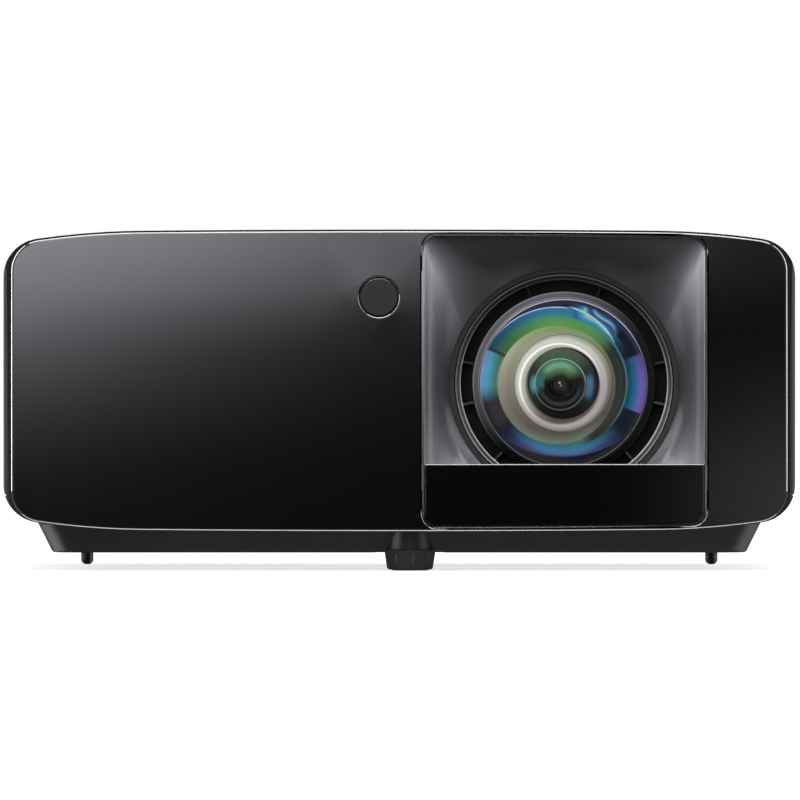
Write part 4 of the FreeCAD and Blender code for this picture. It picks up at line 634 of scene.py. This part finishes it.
def iris_paint():
    """Inside of the focus glasses: dark, with painted reflections in green, teal and blue, thin
    rings, and two painted glints.
    """
    p = Paint("inner_glass_painted_reflections")
    r, dx, dz = p.polar(cell_shift)
    top = p.bearing(dx, dz)
    turn = p.size(top)
    left, right = p.bearing(dz, p.times(dx, -1.0)), p.bearing(dz, dx)

    def patch(face, radii, spread, code):
        """Painted reflection over a band of radii, as far as the mask spread reaches."""
        return p.mix(p.times(p.band(r, *radii), spread), face, tint(code))

    face = p.mix(p.noise(2.5 * mm, 2.0), tint("161418"), tint("201d20"))
    # painted reflections in bands of radii, and a thin bright ring, a painted highlight fading
    # towards the foot
    face = patch(face, (7.6, 8.3, 12.5, 13.0), p.step(turn, 150, 110), "2c2f30")
    face = patch(face, (8.8, 9.6, 12.5, 13.0), p.step(turn, 72, 24), "505c4a")
    face = patch(face, (7.2, 8.6, 9.4, 11.2), p.band(left, -26, -4, 6, 26), "5c93a0")
    face = patch(face, (9.0, 9.8, 11.0, 12.2), p.band(right, -34, -14, 6, 26), "4a7494")
    # painted reflection: green glow in the upper half of the inner glass
    first, width = 3.4, 5.4
    glow = p.ramp(p.linear(r, 1 / width, -first / width, clamp=True), (0.0, tint("14170f")),
                  (0.14, tint("4c6a3e")), (0.34, tint("527c48")), (0.5, tint("70a082")),
                  (0.68, tint("73a68c")), (0.85, tint("528a6c")), (1.0, tint("37604c")),
                  mode="LINEAR")
    tilt = p.size(p.math("ADD", top, 4.0))
    face = p.mix(p.times(p.band(r, 3.3, 3.9, 8.5, 8.9), p.step(tilt, 82, 26)), face, glow)
    face = patch(face, (5.2, 6.2, 8.2, 8.8), p.band(left, -22, -2, 20, 46), "3c6c60")
    face = patch(face, (6.2, 6.7, 7.3, 7.9), p.step(turn, 80, 120), "383f3b")
    face = patch(face, (8.65, 8.85, 9.0, 9.2), p.step(turn, 100, 40, 0.3, 0.95), "9cc4ac")
    # pupil with its thin rings, a painted reflection over its upper part, and two painted glints
    glint = p.times(p.step(dz, 0.5, 3.0), p.step(r, 2.4, 3.8))
    face = p.mix(p.step(r, 4.6, 4.0), face, p.mix(glint, tint("060505"), tint("3a4c2b")))
    for radius, code in ((3.1, "1c1b14"), (2.1, "37372b"), (1.2, "4c4638")):
        line = p.band(r, radius - 0.3, radius - 0.1, radius + 0.05, radius + 0.25)
        face = p.mix(line, face, tint(code))
    for shift, size in (((-1.2, 0.1), 0.3), ((-0.8, -0.8), 0.2)):
        face = p.mix(p.step(p.polar(shift)[0], size + 0.15, size - 0.1), face, tint("c9ccbd"))
    fine = p.noise(0.5 * mm, 3.0)
    return p.shade(face, p.linear(fine, 0.06, 0.14), p.bump(fine, 0.0005 * mm),
                   Specular_IOR_Level=0.03)


def build_lens():
    apex, seat = glass_low.y / mm, glass_high.y / mm
    black = moulded("glass_edge_black", (0.006, 0.006, 0.007), 0.5, 0.3 * mm, 0.004 * mm)
    front = dome(apex, 46.0, glass_radius - 0.05, 24)
    brim = front[0][1]
    shell = turned("front_glass",
                   [(glass_radius - 0.05, seat), (glass_radius - 0.05, brim + 0.3)] + front,
                   coated_glass("front_glass_clear", 0.003, tint("a9c8ff")), black,
                   bands=[1] + [0] * len(front))
    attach(shell, "casing")
    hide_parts("front_element")
    bowl = turned("front_glass_bowl",
                  [(glass_radius - 0.15, brim + 0.35), (28.7, seat - 4.3), (27.6, seat - 3.3),
                   (26.2, seat - 2.4), (24.4, seat - 1.6), (22.4, seat - 0.9),
                   (21.0, seat - 0.35), (20.5, seat - 0.02)], front_glass_reflection_paint(), segments=384)
    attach(bowl, "casing")
    hood_front, hood_end = seat + 0.05, seat + 7.75
    hood = turned("hood_cone",
                  [(20.9, hood_front), (20.3, hood_front), (19.9, seat + 0.3),
                   (18.9, seat + 1.4), (17.9, seat + 2.3), (17.1, seat + 2.8),
                   (17.1, hood_end), (20.9, hood_end), (20.9, hood_front)], hood_paint())
    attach(hood, "casing")
    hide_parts("inner_hood")
    cell_low, cell_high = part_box("focus_cell")
    face, tail = cell_low.y / mm, cell_high.y / mm
    outer = (cell_high.x - cell_low.x) / 2 / mm
    lip = [(12.45, face + 1.5), (12.6, face + 1.1), (13.6, face + 0.45), (14.3, face + 0.1),
           (14.6, face), (15.8, face + 0.02), (16.5, face + 0.15), (outer, face + 0.4)]
    tube = [(outer, tail), (11.0, tail), (11.0, face + 12), (7.5, face + 12), (7.5, face + 10),
            (13.2, face + 10), (13.2, face + 3), (12.45, face + 3), (12.45, face + 1.5)]
    cell = turned("focus_cell_tube", lip + tube, cell_paint(), black,
                  bands=[0] * (len(lip) - 1) + [1] * len(tube))
    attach(cell, "focus_group")
    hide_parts("focus_cell")
    glow = turned("focus_glass_inside",
                  [(13.15, face + 3.2), (11.6, face + 4.0), (10.2, face + 5.0), (8.9, face + 6.2),
                   (7.4, face + 7.2), (5.2, face + 8.2), (4.9, face + 8.6), (2.5, face + 9.2),
                   (0.0, face + 9.4)], iris_paint())
    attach(glow, "focus_group")
    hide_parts("focus_elements")
    elements_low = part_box("focus_elements")[0].y / mm
    clear_inner = turned("focus_glass_front", dome(elements_low, 19.67, 12.35, 16),
                         coated_glass("focus_glass_clear", 0.002, tint("9fe0c0")))
    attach(clear_inner, "focus_group")


build_lens()
# dark ring that fills the gap between the recess opening and the focus ring
ring_front, seal_outer = ring_low.y / mm, ring_outer + 1.95
seal = turned("recess_seal",
              [(seal_outer, ring_front + 0.6), (seal_outer, ring_front - 0.2),
               (ring_outer + 0.7, ring_front + 0.2), (ring_outer + 0.35, ring_front + 0.6),
               (seal_outer, ring_front + 0.6)],
              moulded("seal_black", (0.008, 0.0078, 0.008), 0.75, 0.4 * mm, 0.02 * mm,
                      Specular_IOR_Level=0.2))
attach(seal, "casing")


# ---------------------------------------------------------------- studio

def sheet_mesh(name, across, up, centre, size, count=(1, 1)):
    """Flat grid of count faces, size wide and high, spanned by two unit directions."""
    grid = bmesh.new()
    columns, rows = count
    points = [[grid.verts.new(Vector(centre) + Vector(across) * size[0] * (i / columns - 0.5)
                              + Vector(up) * size[1] * (j / rows - 0.5))
               for j in range(rows + 1)] for i in range(columns + 1)]
    for i in range(columns):
        for j in range(rows):
            grid.faces.new((points[i][j], points[i + 1][j], points[i + 1][j + 1],
                            points[i][j + 1]))
    mesh = bpy.data.meshes.new(name)
    grid.to_mesh(mesh)
    grid.free()
    return mesh


def floor_finish():
    """Pale floor: white to the camera with the object's shadow on it, and dim in the object's
    reflections. From below it is clear."""
    camera_lift, bounce = 0.74, 1.5
    p = Paint("studio_floor")

    def glow(strength):
        return p.node("Emission", {"Color": 1.0, "Strength": strength}).outputs[0]

    def choose(factor, a, b):
        return p.node("MixShader", {0: factor, 1: a, 2: b}).outputs[0]

    path = p.node("LightPath").outputs
    paper = p.node("BsdfDiffuse", {"Color": p.mix(p.noise(0.4, 3.0), 0.83, 0.87)}).outputs[0]
    lift = glow(p.times(path["Is Camera Ray"], camera_lift))
    lit = p.node("AddShader", {0: paper, 1: lift}).outputs[0]
    through = p.node("BsdfTransparent").outputs[0]
    # in reflections: dark under the object, light beside it, and clear far in front
    x, y, _ = p.axes()
    beside = p.times(p.step(p.size(x), 0.112, 0.135), p.step(y, -0.3, -0.13))
    mirrored = choose(p.step(y, -0.5, -0.9), glow(p.linear(beside, 1.0, 0.1)), through)
    seen = choose(path["Is Glossy Ray"], lit, mirrored)
    seen = choose(path["Is Diffuse Ray"], seen, glow(bounce))
    return p.out(choose(p.node("NewGeometry").outputs["Backfacing"], seen, through))


floor = add_object("floor", sheet_mesh("floor", (1, 0, 0), (0, 1, 0), (0, 0, 0), (60, 60)),
                   floor_finish())


def smooth(t):
    t = min(1.0, max(0.0, t))
    return t * t * (3 - 2 * t)


def panel_light(x, z):
    """Brightness that the bowed panel mirrors at x, z on it, in metres: a broad glow from the upper
    left corner that fades to the right and downwards, and a faint one at the lower right."""
    mirror_share, least = 0.04, 0.035
    rise, run = max(143 - z / mm, 24), x / mm + 130
    lean = 0.0105 * (1 - smooth((z / mm - 70) / 40))
    fade = (rise / 57.7) ** 2 + (0.002 + lean) * max(run, -8) + 3.9e-5 * run * abs(run)
    left = 0.33 * math.exp(-fade)
    right = 0.026 * math.exp(-((z / mm - 22) / 38) ** 2 - ((x / mm - 135) / 32) ** 2)
    return (left + right) / mirror_share + least


def panel_card():
    """Graded card in front of the object, seen only in reflections, which shades the panel."""
    far, spread, tilt, low = 8.0, 9.7, 9.587, -0.195     # the bowed panel magnifies the card
    fold, stretch = 1.15, 40        # over the height fold the card runs on upwards
    mesh = sheet_mesh("panel_card", (1, 0, 0), (0, 0, 1), (0, -far, 0.15), (3.2, 2.3), (96, 92))
    for vertex in mesh.vertices:
        vertex.co.z += stretch * max(0.0, vertex.co.z - fold)
    glow = mesh.attributes.new("glow", "FLOAT", "POINT")
    for vertex, value in zip(mesh.vertices, glow.data):
        value.value = panel_light(vertex.co.x / spread, (vertex.co.z - low) / tilt)
    p = Paint("panel_card")
    strength = p.node("Attribute", attribute_name="glow").outputs["Fac"]
    p.out(p.node("Emission", {"Color": (0.985, 0.98, 1.07), "Strength": strength}).outputs[0])
    return add_object("panel_card", mesh, p.material)


def glow_card(name, centre, across, up, size, strength):
    """Evenly lit card, seen only in reflections."""
    p = Paint(name)
    p.out(p.node("Emission", {"Color": 1.0, "Strength": strength}).outputs[0])
    return add_object(name, sheet_mesh(name, across, up, centre, size), p.material)


def softbox(name, place, aim, size, power):
    lamp = bpy.data.lights.new(name, "AREA")
    lamp.shape, lamp.size, lamp.size_y, lamp.energy = "RECTANGLE", size[0], size[1], power
    made = bpy.data.objects.new(name, lamp)
    bpy.context.scene.collection.objects.link(made)
    made.location = place
    made.rotation_euler = (Vector(aim) - Vector(place)).to_track_quat("-Z", "Y").to_euler()
    made.visible_camera = False
    return made


def only_on(source, *pieces):
    """This light reaches only these pieces."""
    group = bpy.data.collections.new(source.name + "_targets")
    for piece in pieces:
        group.objects.link(bpy.data.objects[piece] if isinstance(piece, str) else piece)
    source.light_linking.receiver_collection = group


def not_on(source, *pieces):
    """This light reaches everything but these pieces."""
    only_on(source, *pieces)
    for kept in source.light_linking.receiver_collection.collection_objects:
        kept.light_linking.link_state = "EXCLUDE"


# cards that draw the light edges of the gloss front
side_size = (1.3, 1.9)
left_edge = glow_card("left_edge_card", (-1.2, 0.15, 0.65), (0, -1, 0), (0, 0, 1), side_size, 28.0)
right_edge = glow_card("right_edge_card", (1.2, 0.15, 0.65), (0, 1, 0), (0, 0, 1), side_size, 17.0)
top_edge = glow_card("top_edge_card", (0, -1.35, 2.3), (1, 0, 0), (0, 1, 0), (2.8, 2.9), 26.0)
foot_edge = glow_card("foot_edge_card", (0, -0.107, 0.0006), (1, 0, 0), (0, 1, 0), (0.3, 0.022),
                      11.0)
for source in (left_edge, right_edge, foot_edge):
    only_on(source, nodes["front_panel"], nodes["infrared_window"])
only_on(top_edge, nodes["front_panel"], nodes["infrared_window"], nodes["lens_lower_panel"])
for shown in (panel_card(), left_edge, right_edge, top_edge, foot_edge):
    shown.visible_camera = shown.visible_diffuse = shown.visible_shadow = False
    shown.visible_transmission = False

# lamps: three for the whole object, two for the walls of the recess and one for the lens
overhead = softbox("overhead", (0, -0.2, 2.0), (0, 0, 0), (2.4, 1.6), 16)
left_box = softbox("left_box", (-2.2, -1.2, 0.9), (0, 0, 0.06), (0.9, 1.6), 9)
right_box = softbox("right_box", (2.2, -1.2, 0.9), (0, 0, 0.06), (0.9, 1.6), 5)
for lamp in (overhead, left_box, right_box):
    not_on(lamp, nodes["lens_bezel"])
for name, side, power in (("recess_left", -1, 45), ("recess_right", 1, 37)):
    wing = softbox(name, (side * 1.3, -1.1, 0.45), (0.057, -0.1, 0.06), (1.3, 1.3), power)
    only_on(wing, nodes["lens_bezel"], nodes["focus_ring"], seal)
lens_fill = softbox("lens_fill", (0.057, -3.0, 0.4), (0.057, -0.08, 0.065), (0.8, 0.8), 38)
lens_fill.visible_glossy = False
only_on(lens_fill, "front_glass_bowl", "hood_cone", "focus_cell_tube", "focus_glass_inside")

# world: soft light on the object, and white to the camera, in mirrors and through glass
world = bpy.data.worlds.new("studio")
bpy.context.scene.world = world
sky = Tree(world)
path = sky.node("LightPath").outputs
beyond = sky.math("ADD", path["Is Glossy Ray"], path["Is Transmission Ray"])
seen = sky.math("ADD", path["Is Camera Ray"], beyond, clamp=True)
lit, white = (sky.node("Background", {"Color": 1.0, "Strength": strength}).outputs[0]
              for strength in (0.42, 1.0))
sky.end("OutputWorld", sky.node("MixShader", {0: seen, 1: lit, 2: white}).outputs[0])

lens = bpy.data.cameras.new("camera")
lens.lens, lens.sensor_width = 597, 36
lens.clip_start, lens.clip_end = 0.1, 100
camera = bpy.data.objects.new("camera", lens)
bpy.context.scene.collection.objects.link(camera)
camera.location = (0.00024, -4.708, 0.0593)
camera.rotation_euler = (math.pi / 2, 0, 0)
bpy.context.scene.camera = camera
bpy.context.scene.view_settings.view_transform = "Standard"
